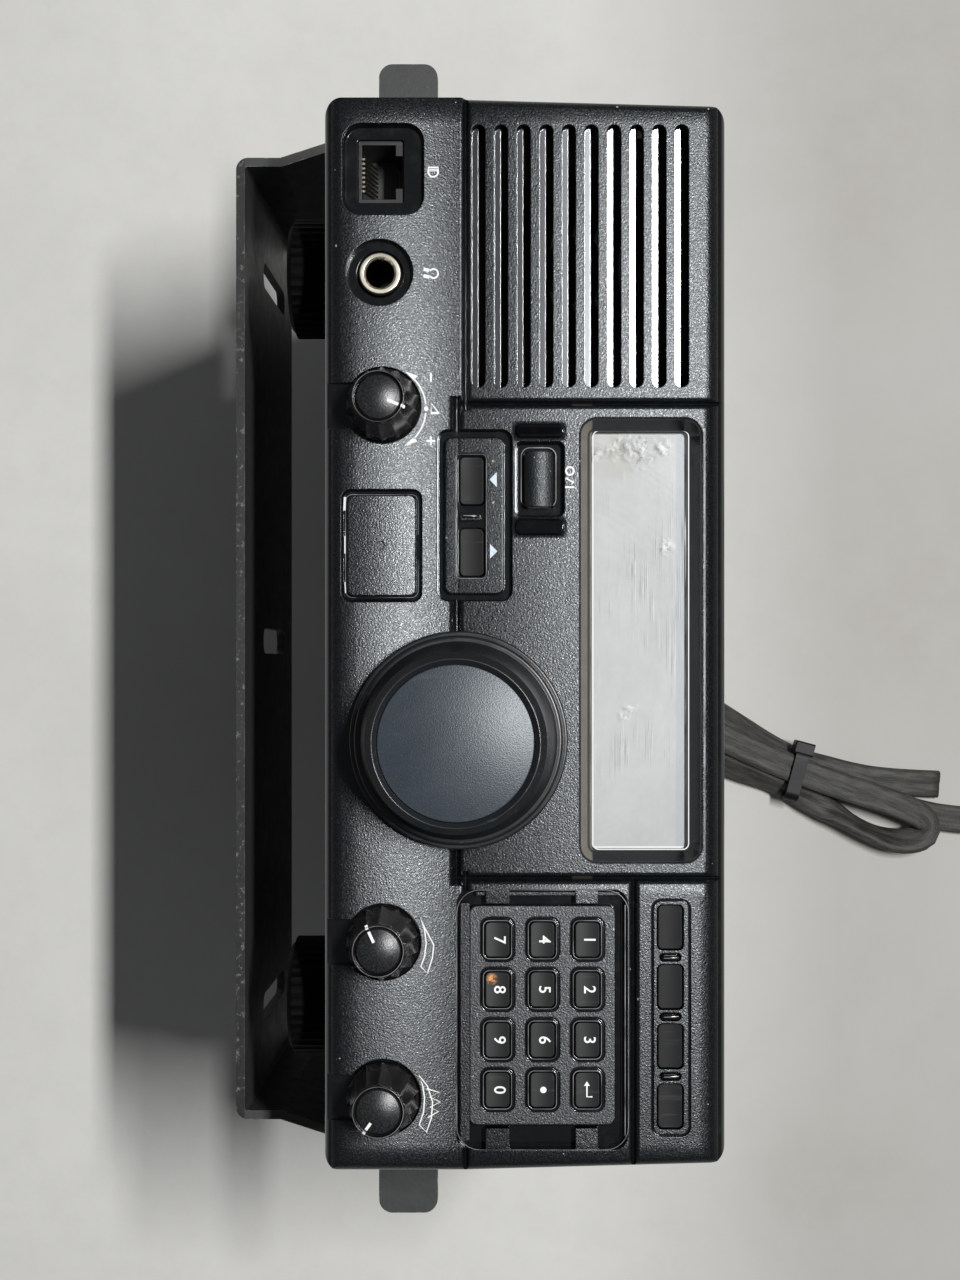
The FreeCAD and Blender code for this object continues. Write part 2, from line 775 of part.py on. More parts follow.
def control_board():
    """The circuit board behind the panel, with a switch under each button."""
    back = board_front - board_t
    right = box((-48.0, 112.5), (-40.0, 40.5), (back, board_front))
    left = box((-90.0, -47.0), (-40.0, -17.0), (back, board_front))
    hole = rod(*phones_xy, (back - 1, board_front + 1), 7.0)
    board = right.fuse(left).removeSplitter().cut(hole)
    places = [(x, y) for y in key_rows for x in key_cols]
    places += [(x, strip_mid_y) for x in strip_centres]
    places += [(x, rocker_mid_y) for x in rocker_centres.values()]
    places.append(power_centre)
    top = board_front + switch_h
    for x, y in places:
        base = box(about(x, 6), about(y, 6), (board_front, top - 0.7))
        board = board.fuse(base.fuse(rod(x, y, (top - 0.7, top), 1.7)))
    return board.removeSplitter()


def speaker():
    """The loudspeaker behind the grille: a square basket, a cone and a magnet."""
    x, y = -83.2, 12.0
    rim = pad(about(x, 54), about(y, 48), 6, (skin_back - 1.6, skin_back))
    basket = Part.makeCone(13, 22.5, 11, V(x, y, 221.5))
    magnet = rod(x, y, (213.5, 221.5), 15)
    mouth = Part.makeCone(8, 21.5, 11, V(x, y, skin_back - 10.5))
    cap = Part.makeSphere(8.5, V(x, y, skin_back - 14.0))
    body = rim.fuse([basket, magnet]).cut(mouth)
    keep = rod(x, y, (215, skin_back - 5), 9)
    return body.fuse(cap.common(keep)).removeSplitter()


def vent_slots(y, x_rows, z0, count):
    """Cutters for rows of ventilation slots through a cover."""
    cuts = []
    for x in x_rows:
        for i in range(count):
            z = z0 + i * 5.0
            cuts.append(box(about(x, 30.0), (y - 2, y + 2), (z, z + 2.2)))
    return cuts


def cover(side):
    """A folded sheet cover with a turned-down flank at each side; side is 1 for the top
    cover and -1 for the bottom one."""
    w, h = case_half_w, case_half_h
    z = (rear_wall_z, case_front - 0.2)
    outer = box((-w, w), sorted((0.6 * side, h * side)), z)
    outer = outer.makeFillet(
        2.0,
        edges_where(outer, lambda p: abs(p.y - h * side) < 1e-4 and abs(abs(p.x) - w) < 1e-4),
    )
    inner = box(
        (-w + sheet, w - sheet), sorted((-1.0 * side, (h - sheet) * side)), grown(z, 1)
    )
    inner = inner.makeFillet(
        0.9,
        edges_where(
            inner,
            lambda p: abs(p.y - (h - sheet) * side) < 1e-4
            and abs(abs(p.x) - w + sheet) < 1e-4,
        ),
    )
    shell = outer.cut(inner)
    rows = (-60.0, -20.0, 20.0, 60.0) if side > 0 else (-20.0, 20.0)
    count = 9 if side > 0 else 6
    for cutter in vent_slots((h - sheet / 2) * side, rows, 78.0, count):
        shell = shell.cut(cutter)
    for y, z_at in cover_screw_places(side):
        hole = side_rod(y, z_at, (-w - 1, w + 1), 1.7)
        shell = shell.cut(hole)
    if side < 0:
        for y, z_at in bracket_screw_places():
            shell = shell.cut(side_rod(y, z_at, (-w - 1, w + 1), screw_r + 0.2))
        for x, z_at in foot_places():
            hole = Part.makeCylinder(2.0, 4, V(x, -h - 1, z_at), V(0, 1, 0))
            shell = shell.cut(hole)
    return shell


def cover_screw_places(side):
    """Where the screws go through one cover's flanks, as (y, z)."""
    return [(30.0 * side, z) for z in (50.0, 198.0)]


def foot_places():
    """The middle of each foot, as (x, z), front ones first."""
    return [(x, z) for z in (front_foot_z, rear_foot_z) for x in (-feet_x, feet_x)]


def cover_screws():
    """Pan-head screws that hold both covers to the chassis."""
    screws = []
    for side in (1, -1):
        for y, z in cover_screw_places(side):
            for s in (1, -1):
                start, w = V(s * (case_half_w - 5), y, z), case_half_w
                shank = Part.makeCylinder(1.5, 5, start, V(s, 0, 0))
                head = Part.makeCone(3.1, 2.3, 1.6, V(s * w, y, z), V(s, 0, 0))
                slot = box(about(s * (w + 1.6), 1.2), about(y, 0.8), about(z, 5.0))
                screws.append(shank.fuse(head).cut(slot).removeSplitter())
    return Part.makeCompound(screws)


def chassis():
    """The die-cast frame: a deck between two flanks, a wall for the sockets and heat
    sinks at the rear, and a wall behind the panel."""
    flank = case_half_w - sheet - 0.1
    h = case_half_h - sheet - 0.9
    z = (rear_wall_z, case_front - 3.0)
    deck = box((-flank, flank), (-1.0, 1.0), z)
    sides = [box(sorted((s * flank, s * (flank - 2.5))), (-h, h), z) for s in (1, -1)]
    rear = box((-flank, flank), (-h, h), (rear_wall_z, rear_wall_z + rear_wall_t))
    front = box((-flank, flank), (-h, h), (z[1] - 2.0, z[1]))
    body = deck.fuse(sides + [rear, front])
    for x in (-60.0, 0.0, 60.0):
        for s in (1, -1):
            window = pad(about(x, 44), about(22.0 * s, 26), 3, (z[1] - 3, z[1] + 1))
            body = body.cut(window)
    for x in (-90.0, 90.0):
        for s in (1, -1):
            body = body.fuse(box(about(x, 3), sorted((1.0 * s, 6.0 * s)), z))
    for y, z_at in [p for side in (1, -1) for p in cover_screw_places(side)]:
        body = body.cut(side_rod(y, z_at, (-case_half_w, case_half_w), 1.5))
    for y, z_at in bracket_screw_places():
        body = body.cut(side_rod(y, z_at, (-case_half_w, case_half_w), screw_r))
    for x, y in gland_xy.values():
        body = body.cut(pad(about(x, 10), about(y, 8), 2, (rear_wall_z - 1, rear_wall_z + 5)))
    return body.removeSplitter()


def heat_sink(limits):
    """A finned casting on one half of the rear wall. Its fins stand upright when the
    radio is in use, and the radio lies on their edges here."""
    z = (rear_wall_z - sink_base_t, rear_wall_z)
    base = box(limits, (-sink_half_h, sink_half_h), z)
    span = limits[1] - limits[0] - fin_t
    count = int(round(span / fin_pitch)) + 1
    fins = []
    for i in range(count):
        x = limits[0] + span * i / (count - 1)
        fin = box((x, x + fin_t), (-sink_half_h, sink_half_h), (0, z[0] + 0.5))
        tips = edges_where(fin, lambda p: abs(p.z) < 1e-4 and abs(abs(p.y) - sink_half_h) < 1e-4)
        fins.append(fin.makeChamfer(5.0, tips))
    return base.fuse(fins).removeSplitter()


def main_board():
    """The main circuit board under the deck, with its filters, coils and cans."""
    y = (-12.6, -11.0)
    board = box((-104.0, 104.0), y, (44.0, 200.0))
    parts = []
    for x in (-98.0, 98.0):
        for z in (50.0, 194.0):
            parts.append(Part.makeCylinder(3.0, 10.5, V(x, -11.5, z), V(0, 1, 0)))
    for x, z, w, d, h in [
        (-70, 80, 44, 30, 12),
        (-66, 150, 52, 50, 16),
        (10, 70, 38, 24, 10),
        (66, 90, 50, 42, 14),
    ]:
        parts.append(box(about(x, w), (y[0] - h, y[0] + 0.5), about(z, d)))
    for i in range(6):
        start = V(2.0 + 14.0 * i, y[0] + 0.5, 168.0)
        parts.append(Part.makeCylinder(4.5, 12.0, start, V(0, -1, 0)))
    return board.fuse(parts).removeSplitter()


def amplifier_board():
    """The transmitter's output stage above the deck, against the rear wall."""
    board = box((-104.0, 104.0), (7.0, 8.6), (36.0, 120.0))
    parts = []
    for x in (-98.0, 98.0):
        for z in (42.0, 114.0):
            parts.append(Part.makeCylinder(3.0, 6.5, V(x, 1.0, z), V(0, 1, 0)))
    for x in (-36.0, 0.0):
        parts.append(box(about(x, 24), (8.0, 15.0), (33.5, 46.0)))
    for x in (-60.0, -20.0, 20.0, 60.0):
        start = V(x, 8.0, 92.0)
        ring = Part.makeCylinder(13.0, 9.0, start, V(0, 1, 0))
        parts.append(ring.cut(Part.makeCylinder(5.0, 9.0, start, V(0, 1, 0))))
    parts.append(box((52.0, 88.0), (8.0, 22.0), (48.0, 70.0)))
    return board.fuse(parts).removeSplitter()


def foot(x, z):
    """A round foot with upright flutes and a sunk screw."""
    low = scalloped(foot_r, foot_r - foot_flute_depth, foot_flutes, foot_neck)
    body = Part.Face(low).extrude(V(0, 0, foot_h - 1.0 - foot_neck))
    body = body.fuse(rod(0, 0, (0, foot_neck + 0.5), 9.0))
    tip = Part.makeCone(foot_r - 0.8, foot_r - 1.8, 1.0, V(0, 0, foot_h - 1.0))
    body = body.fuse(tip)
    body = body.cut(rod(0, 0, (foot_h - 7.0, foot_h + 1), 5.0))
    body = body.cut(rod(0, 0, (-1, foot_h), 2.0))
    body.rotate(V(0, 0, 0), V(1, 0, 0), 90)
    body.translate(V(x, -case_half_h, z))
    return body


def feet(front):
    """A pair of feet under the case."""
    places = foot_places()[:2] if front else foot_places()[2:]
    return Part.makeCompound([foot(x, z) for x, z in places])


def foot_screws():
    """The screws in the feet."""
    screws = []
    for x, z in foot_places():
        low = -case_half_h - foot_h + 6.9
        head = Part.makeCylinder(4.2, 2.6, V(x, low - 2.6, z), V(0, 1, 0))
        shank = Part.makeCylinder(2.0, 9.0, V(x, low - 0.1, z), V(0, 1, 0))
        slot = box(about(x, 6.0), (low - 3, low - 1.8), about(z, 0.9))
        screws.append(head.fuse(shank).cut(slot).removeSplitter())
    return Part.makeCompound(screws)


def antenna_socket():
    """A coaxial antenna socket with a square flange and a threaded barrel."""
    x, y, z = -30.0, 25.0, rear_wall_z
    flange = pad(about(x, 25.4), about(y, 25.4), 2, (z - 1.6, z))
    for sx in (-9.1, 9.1):
        for sy in (-9.1, 9.1):
            screw = Part.makeCone(1.7, 2.6, 1.2, V(x + sx, y + sy, z - 2.8))
            flange = flange.fuse(screw)
    barrel = rod(x, y, (z - 15.5, z - 1.0), 7.94)
    body = flange.fuse(barrel).cut(rod(x, y, (z - 17, z - 5), 6.2))
    insulator = rod(x, y, (z - 13.0, z - 4.5), 3.6).cut(rod(x, y, (z - 14, z - 6), 2.05))
    return body.fuse(insulator).removeSplitter()


def ground_terminal():
    """The earth screw with its washer and wing nut."""
    x, y, z = -32.0, -29.0, rear_wall_z
    washer = rod(x, y, (z - 1.2, z), 6.0)
    stud = rod(x, y, (z - 14.0, z - 1.0), 2.0)
    hub = Part.makeCone(3.4, 4.6, 5.0, V(x, y, z - 6.2))
    wings = box(about(x, 19.0), about(y, 2.0), (z - 11.0, z - 2.6))
    tips = edges_where(wings, lambda p: abs(abs(p.x - x) - 9.5) < 1e-4)
    wings = wings.makeFillet(3.0, [e for e in tips if abs(e.BoundBox.ZMax - z + 11.0) < 1e-3])
    gap = box(about(x, 7.6), about(y, 3.0), (z - 12.0, z - 6.2))
    wings = wings.cut(gap)
    return washer.fuse([stud, hub, wings]).removeSplitter()


def rear_sockets():
    """The accessory socket and two small jacks beside it."""
    z = rear_wall_z
    x, y = 38.0, 24.0
    ring = rod(x, y, (z - 3.0, z), 9.5).cut(rod(x, y, (z - 3.5, z - 0.8), 7.4))
    for i in range(6):
        a = math.radians(60 * i + 30)
        pin = rod(x + 4.6 * math.cos(a), y + 4.6 * math.sin(a), (z - 2.2, z - 0.5), 0.7)
        ring = ring.fuse(pin)
    sockets = [ring.removeSplitter()]
    jack = [(1.8, z - 3.5), (4.0, z - 3.5), (4.6, z - 2.0), (4.6, z), (1.8, z)]
    for jack_y in (-10.0, -27.0):
        sockets.append(revolve(jack, 42.0, jack_y))
    return Part.makeCompound(sockets)


def lead_glands():
    """Tapered strain reliefs through which the two flat leads leave the rear wall."""
    glands = []
    for x, y in gland_xy.values():
        top = round_rect(about(x, 14.0), about(y, 9.0), 2.5, rear_wall_z)
        tip = round_rect(about(x, 11.4), about(y, 6.4), 2.2, rear_wall_z - gland_h)
        glands.append(Part.makeLoft([top, tip], True, True))
    return Part.makeCompound(glands)


def bracket_screw_places():
    """The pivot and the locking screw of the bracket, as (y, z)."""
    return [(pivot_y, pivot_z), (pivot_y, pivot_z - lock_radius)]


def bracket_section():
    """The bracket seen from the front: a flat base and two arms that step outwards."""
    def side(w, low, y0, y1, top_w, s):
        return [V(s * top_w, arm_top_y, 0), V(s * top_w, y1, 0), V(s * w, y0, 0), V(s * w, low, 0)]

    w, t = bracket_half_w, steel
    y0, y1 = flare_low_y, flare_high_y
    outer = side(w, bracket_low_y, y0, y1, arm_half_w, -1)
    outer += side(w, bracket_low_y, y0, y1, arm_half_w, 1)[::-1]
    y0, y1 = flare_low_y + 0.35, flare_high_y + 0.35
    inner = side(w - t, bracket_low_y + t, y0, y1, arm_half_w - t, 1)
    inner += side(w - t, bracket_low_y + t, y0, y1, arm_half_w - t, -1)[::-1]
    return Part.Face(Part.makePolygon(outer + inner + outer[:1]))


def arm_window():
    """The side view that the arms are trimmed to: full depth at the base, narrower and
    rounded at the top."""
    z0, z1 = bracket_z
    low, waist, top = bracket_low_y - 1, ear_y[1] + 1.5, arm_top_y
    inset = 14.0
    points = [
        V(0, low, z0),
        V(0, low, z1),
        V(0, waist, z1),
        V(0, top, z1 - inset),
        V(0, top, z0 + inset),
        V(0, waist, z0),
    ]
    face = Part.Face(Part.makePolygon(points + points[:1]))
    solid = face.extrude(V(400, 0, 0))
    solid.translate(V(-200, 0, 0))
    corners = edges_where(solid, lambda p: abs(p.y - top) < 1e-4)
    along = [e for e in corners if e.Length > 300]
    return solid.makeFillet(10.0, along)


def lock_slot(s):
    """The curved slot that a locking screw slides in when the radio is tilted."""
    cutters = []
    steps = 6
    for i in range(steps + 1):
        a = math.radians(180 - lock_swing + 2 * lock_swing * i / steps)
        y = pivot_y + lock_radius * math.sin(a)
        z = pivot_z + lock_radius * math.cos(a)
        cutters.append(side_rod(y, z, sorted((s * 110, s * 130)), screw_r + 0.35))
    low, high = cutters[0].BoundBox, cutters[-1].BoundBox
    ring = side_rod(pivot_y, pivot_z, sorted((s * 110, s * 130)), lock_radius + screw_r + 0.35)
    ring = ring.cut(
        side_rod(pivot_y, pivot_z, sorted((s * 109, s * 131)), lock_radius - screw_r - 0.35)
    )
    mid_y = sorted(((low.YMin + low.YMax) / 2, (high.YMin + high.YMax) / 2))
    sector = box(sorted((s * 110, s * 130)), mid_y, (pivot_z - 40, pivot_z - 10))
    return ring.common(sector).fuse([cutters[0], cutters[-1]])


def bracket():
    """The folded steel bracket: a slotted base, two arms and an ear on each arm."""
    z0, z1 = bracket_z
    body = bracket_section().extrude(V(0, 0, z1 - z0))
    body.translate(V(0, 0, z0))
    outer_bends = edges_where(
        body, lambda p: abs(p.y - bracket_low_y) < 1e-4 and abs(abs(p.x) - bracket_half_w) < 1e-4
    )
    body = body.makeFillet(steel + 0.8, outer_bends)
    inner_low = bracket_low_y + steel
    inner_bends = edges_where(
        body,
        lambda p: abs(p.y - inner_low) < 1e-4 and abs(abs(p.x) - bracket_half_w + steel) < 1e-4,
    )
    body = body.makeFillet(0.8, inner_bends)
    body = body.common(arm_window())
    for x in base_slot_x:
        slot = box(about(x, base_slot_w), grown((bracket_low_y, inner_low), 1), base_slot_z)
        slot = slot.makeFillet(
            base_slot_w / 2 - 0.01,
            [e for e in slot.Edges if abs(e.Length - steel - 2) < 1e-4 and e.BoundBox.YLength > 1],
        )
        body = body.cut(slot)
    for s in (1, -1):
        ear = box(sorted((s * (arm_half_w - steel), s * ear_half_w)), ear_y, (z1 - steel, z1))
        tips = edges_where(ear, lambda p: abs(p.x - s * ear_half_w) < 1e-4)
        ear = ear.makeFillet(3.4, [e for e in tips if e.BoundBox.ZLength > 1])
        body = body.fuse(ear)
        hole = side_rod(pivot_y, pivot_z, sorted((s * 110, s * 130)), screw_r + 0.05)
        body = body.cut(hole).cut(lock_slot(s))
    return body.removeSplitter()


def bracket_screws():
    """Knurled thumb screws with washers that clamp the arms to the case."""
    screws = []
    face_x = arm_half_w + 0.2
    for s in (1, -1):
        for y, z in bracket_screw_places():
            washer = side_rod(y, z, sorted((s * face_x, s * (face_x + 1.0))), 6.0)
            shank_x = sorted((s * (case_half_w - 6.0), s * (face_x + 2.0)))
            shank = side_rod(y, z, shank_x, screw_r)
            ring = scalloped(7.5, 7.0, 18, 0)
            head = Part.Face(ring).extrude(V(0, 0, 7.0))
            head.rotate(V(0, 0, 0), V(0, 1, 0), 90 * s)
            head.translate(V(s * (face_x + 1.0), y, z))
            screws.append(washer.fuse([shank, head]).removeSplitter())
    return Part.makeCompound(screws)


def bracket_spacers():
    """Rubber spacers between the case and the arms, one round each screw."""
    spacers = []
    gap = arm_half_w - steel - case_half_w - 0.2
    for s in (1, -1):
        for y, z in bracket_screw_places():
            start = s * case_half_w
            ring = side_rod(y, z, sorted((start, start + s * gap)), 9.0)
            bore = side_rod(y, z, sorted((start - s, start + s * (gap + 1))), screw_r)
            spacers.append(ring.cut(bore))
    return Part.makeCompound(spacers)


# The power lead: down from its gland, over the fold of its own return run, through the
# tie, round the visible loop and back, round the fold behind the radio, and out again
# under the loop to the coil.
power_route = [
    V(-6.0, -22.0, 21.0),
    V(-6.0, -22.0, 13.0),
    V(-5.6, -16.5, 7.0),
    V(-4.5, -5.0, 7.6),
    V(1.0, 10.0, 10.8),
    V(12.0, 31.0, 11.4),
    V(23.0, 51.0, 11.0),
    V(32.2, 70.5, 11.2),
    V(41.1, 90.0, 12.0),
    V(49.1, 112.0, 10.8),
    V(55.2, 131.0, 9.8),
    V(59.9, 141.0, 9.2),
    V(66.3, 140.6, 8.6),
    V(68.5, 131.0, 7.4),
    V(64.9, 119.5, 6.0),
    V(56.3, 106.0, 5.8),
    V(48.3, 90.5, 6.6),
    V(40.9, 70.4, 5.8),
    V(32.6, 49.0, 5.6),
    V(28.2, 29.0, 5.4),
    V(28.4, 11.0, 5.2),
    V(27.6, -2.6, 4.6),
    V(18.4, -12.0, 4.0),
    V(5.4, -12.0, 3.2),
    V(-4.0, -2.6, 2.4),
    V(-3.4, 10.6, 2.1),
    V(6.6, 25.6, 2.1),
    V(19.4, 44.0, 2.1),
    V(31.7, 69.5, 2.2),
    V(41.5, 94.0, 3.5),
    V(51.2, 118.0, 2.2),
    V(58.5, 138.0, 2.1),
    V(61.0, 153.0, 2.4),
    V(61.8, 176.0, 5.1),
    V(62.8, 205.0, 5.1),
]

# The accessory lead: from its gland through the tie, between two strands of the power
# lead, to its bare end on the surface.
accessory_route = [
    V(-22.0, -9.0, 21.0),
    V(-22.0, -9.0, 13.0),
    V(-21.2, -3.5, 7.0),
    V(-16.8, 8.0, 6.0),
    V(-5.6, 25.0, 6.2),
    V(9.6, 46.5, 6.2),
    V(23.7, 69.5, 6.6),
    V(37.7, 91.0, 7.4),
    V(44.7, 111.0, 6.6),
    V(47.7, 129.5, 3.8),
    V(48.3, 146.0, 2.4),
]


def rounded_path(points):
    """Straight runs joined by tangent arcs, each as large as its two runs allow. Returns
    the wire and the radii."""
    edges = []
    radii = []
    here = points[0]
    for before, corner, after in zip(points, points[1:], points[2:]):
        back = before - corner
        on = after - corner
        turn = math.pi - back.getAngle(on)
        reach = 0.45 * min(back.Length, on.Length)
        radius = reach / math.tan(turn / 2)
        back.normalize()
        on.normalize()
        start = corner + back * reach
        end = corner + on * reach
        inward = (back + on).normalize()
        depth = radius / math.cos(turn / 2) - radius
        edges.append(Part.LineSegment(here, start).toShape())
        edges.append(Part.Arc(start, corner + inward * depth, end).toShape())
        radii.append(radius)
        here = end
    edges.append(Part.LineSegment(here, points[-1]).toShape())
    return Part.Wire(edges), radii


def lead_tube(name, points):
    """A plain tube as thick as the flat lead, along a route. Prints what it measures."""
    path, radii = rounded_path(points)
    along = points[1] - points[0]
    ring = Part.Wire([Part.makeCircle(lead_t / 2, points[0], along)])
    tube = path.makePipeShell([ring], True, False)
    expected = math.pi * (lead_t / 2) ** 2 * path.Length
    print(name, "length", round(path.Length, 1), "radii", [round(r, 1) for r in radii])
    print(name, "volume over section times length", round(tube.Volume / expected, 4))
    return tube


def coil_point(turn):
    """A point of the coil's spiral; the lead comes in at turn 0, on the outside."""
    r = coil_inner_r + coil_pitch * (coil_turns - turn)
    a = 2 * math.pi * turn
    return V(coil_centre[0] + r * math.cos(a), coil_centre[1] + r * math.sin(a), lead_w / 2 + 0.1)


def lead_coil():
    """The rest of the power lead in a flat coil, standing on its edge, turn inside turn."""
    halves = int(round(coil_turns * 2))
    edges = []
    for i in range(halves):
        a, b, c = (coil_point((i + k / 2) / 2) for k in range(3))
        centre = (a + c) * 0.5
        side = (b - centre).normalize()
        mid = centre + side * ((a - c).Length / 2)
        edges.append(Part.Arc(a, mid, c).toShape())
    last = coil_point(coil_turns)
    centre = last + V(coil_tail_r, 0, 0)
    foot_of_tail = centre + V(0, -coil_tail_r, 0)
    k = coil_tail_r * math.sqrt(0.5)
    edges.append(Part.Arc(last, centre + V(-k, -k, 0), foot_of_tail).toShape())
    edges.append(Part.LineSegment(foot_of_tail, foot_of_tail + V(lead_w, 0, 0)).toShape())
    path = Part.Wire(edges)
    start = coil_point(0)
    w, h, bevel = lead_t / 2, lead_w / 2, 1.2
    corners = [(w, h - bevel), (w - bevel, h), (bevel - w, h), (-w, h - bevel)]
    corners += [(-x, -z) for x, z in corners]
    points = [start + V(x, 0, z) for x, z in corners]
    section = Part.makePolygon(points + points[:1])
    coil = path.makePipeShell([section], True, False)
    gap = least_gap(path) - lead_t
    print("lead_coil length", round(path.Length, 1), "least gap to itself", round(gap, 2))
    return coil


def least_gap(path):
    """The least distance between a spiral's turns, measured on points along it."""
    points = path.discretize(Distance=4.0)
    turn = 2 * math.pi * coil_inner_r / 4.0
    best = 1e9
    for i, p in enumerate(points):
        for q in points[i + int(turn * 0.6):]:
            best = min(best, (p - q).Length)
    return best


def power_plug():
    """The two-way plug at the far end of the power lead, inside the coil."""
    end = coil_point(coil_turns) + V(coil_tail_r + lead_w, -coil_tail_r, 0)
    plug = pad((-13.0, 13.0), (-6.5, 6.5), 2.0, (0.2, 10.2))
    plug = softened(plug, 1.0, 10.2)
    for y in (-3.2, 3.2):
        plug = plug.cut(box((7.0, 14.0), about(y, 3.6), about(5.2, 3.6)))
    boot = pad((-20.0, -12.0), (-4.2, 4.2), 1.6, (0.1, 10.1))
    plug = plug.fuse(boot).removeSplitter()
    plug.translate(V(end.x + 20.0, end.y, 0))
    return plug


def cable_tie():
    """The black tie round the bundle of leads, with its locking head."""
    z = (0.1, 15.2)
    across = (-8.0, 10.4)
    outer = pad(across, z, 3.0, (-2.3, 2.3))
    inner = pad(grown(across, -1.0), grown(z, -1.0), 2.0, (-3, 3))
    band = outer.cut(inner)
    head = softened(pad((-10.6, -6.0), (8.4, 15.2), 0.8, (-3.4, 3.4)), 0.5, 3.4)
    tie = band.fuse(head.cut(inner)).removeSplitter()
    tie.rotate(V(0, 0, 0), V(1, 0, 0), 90)
    tie.rotate(V(0, 0, 0), V(0, 0, 1), tie_turn)
    tie.translate(V(*tie_xy, 0))
    return tie


def build():
    """Every sub-part by name."""
    parts = {
        "front_panel": front_panel(),
        "display_window": display_window(),
        "display_module": display_module(),
        "keypad_plate": keypad_plate(),
        "power_button": power_button(),
        "tuning_knob": tuning_knob(),
        "tuning_inlay": tuning_inlay(),
        "tuning_shaft": tuning_shaft(),
        "tuning_encoder": tuning_encoder(),
        "control_pots": control_pots(),
        "mic_socket": mic_socket(),
        "mic_contacts": mic_contacts(),
        "phones_socket": phones_socket(),
        "blank_cover": blank_cover(),
        "control_board": control_board(),
        "speaker": speaker(),
        "top_cover": cover(1),
        "bottom_cover": cover(-1),
        "cover_screws": cover_screws(),
        "chassis": chassis(),
        "left_heat_sink": heat_sink(left_sink_x),
        "right_heat_sink": heat_sink(right_sink_x),
        "main_board": main_board(),
        "amplifier_board": amplifier_board(),
        "front_feet": feet(True),
        "rear_feet": feet(False),
        "foot_screws": foot_screws(),
        "antenna_socket": antenna_socket(),
        "ground_terminal": ground_terminal(),
        "rear_sockets": rear_sockets(),
        "lead_glands": lead_glands(),
        "bracket": bracket(),
        "bracket_screws": bracket_screws(),
        "bracket_spacers": bracket_spacers(),
        "power_lead": lead_tube("power_lead", power_route + [coil_point(0)]),
        "lead_coil": lead_coil(),
        "power_plug": power_plug(),
        "accessory_lead": lead_tube("accessory_lead", accessory_route),
        "cable_tie": cable_tie(),
    }
    for row, y in zip(key_names, key_rows):
        for name, x in zip(row, key_cols):
            parts[name] = push_button(x, y, key_size, plate_top + 0.5, face_z - pad_depth)
    for i, x in enumerate(strip_centres):
        name = "side_button_" + str(i + 1)
        parts[name] = push_button(x, strip_mid_y, strip_size, face_z - strip_sink, skin_back)
    for name, x in rocker_centres.items():
        parts[name] = push_button(x, rocker_mid_y, rocker_size, face_z - rocker_sink, skin_back)
    for name in knob_x:
        parts[name] = small_knob(name)
    return parts


def main():
    os.makedirs("parts", exist_ok=True)
    for name, shape in build().items():
        shape.translate(V(0, footprint_shift, 0))
        if not shape.isValid():
            print("not valid:", name)
        print(name, len(shape.Solids), "solid", round(shape.Volume / 1000, 2), "cm3")
        shape.exportStep("parts/" + name + ".step")


main()
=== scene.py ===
import bpy
import math
from mathutils import Matrix, Vector


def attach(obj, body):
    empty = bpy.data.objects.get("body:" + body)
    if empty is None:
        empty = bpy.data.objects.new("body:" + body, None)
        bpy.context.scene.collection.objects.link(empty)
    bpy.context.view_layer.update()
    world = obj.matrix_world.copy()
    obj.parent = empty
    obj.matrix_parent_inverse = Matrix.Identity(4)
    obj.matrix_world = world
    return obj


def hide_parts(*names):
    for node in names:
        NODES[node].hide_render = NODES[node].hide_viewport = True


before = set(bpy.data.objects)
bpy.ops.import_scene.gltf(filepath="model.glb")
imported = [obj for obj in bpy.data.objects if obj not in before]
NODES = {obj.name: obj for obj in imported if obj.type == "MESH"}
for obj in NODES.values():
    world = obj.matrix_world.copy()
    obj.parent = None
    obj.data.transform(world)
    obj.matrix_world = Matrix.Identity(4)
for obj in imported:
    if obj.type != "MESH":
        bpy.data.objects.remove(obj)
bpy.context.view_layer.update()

# Positions are written in millimetres from the middle of the front panel, as in the CAD
# source, and SHIFT moves them to the frame's origin.
SHIFT = 13.75
FACE = 238.0
PLATE = FACE - 1.2


def at(x, y, z=0.0):
    """A point in the frame, in metres, from millimetres on the panel."""
    return Vector((x, y + SHIFT, z)) / 1000.0


# Camera
WIDTH_PX, HEIGHT_PX = 960, 1280
FOCAL_PX = 1775.0
NADIR_PX = (522.0, 668.0)
EYE = (7.36, -0.6, 628.0)

camera_data = bpy.data.cameras.new("camera")
camera_data.sensor_width = 36.0
camera_data.lens = 36.0 * FOCAL_PX / HEIGHT_PX
camera_data.shift_x = (WIDTH_PX / 2 - NADIR_PX[0]) / HEIGHT_PX
camera_data.shift_y = (NADIR_PX[1] - HEIGHT_PX / 2) / HEIGHT_PX
camera_data.clip_start = 0.02
camera = bpy.data.objects.new("camera", camera_data)
camera.location = at(*EYE)
camera.rotation_euler = (0.0, 0.0, math.radians(90.0))
bpy.context.scene.collection.objects.link(camera)
bpy.context.scene.camera = camera


def on_panel(px, py, z=FACE):
    """The place on the object, in millimetres, that shows at a pixel of the photograph."""
    scale = FOCAL_PX / (EYE[2] - z)
    return ((py - NADIR_PX[1]) / scale + EYE[0], (px - NADIR_PX[0]) / scale + EYE[1])


def place_mesh(name, mesh, material, body):
    """A piece of the scene that rides on a body."""
    obj = bpy.data.objects.new(name, mesh)
    bpy.context.scene.collection.objects.link(obj)
    mesh.materials.append(material)
    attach(obj, body)
    return obj


def mesh_piece(name, verts, faces, material, body, smooth=True):
    mesh = bpy.data.meshes.new(name)
    mesh.from_pydata([tuple(v) for v in verts], [], faces)
    mesh.polygons.foreach_set("use_smooth", [smooth] * len(mesh.polygons))
    mesh.update()
    return place_mesh(name, mesh, material, body)


# Materials


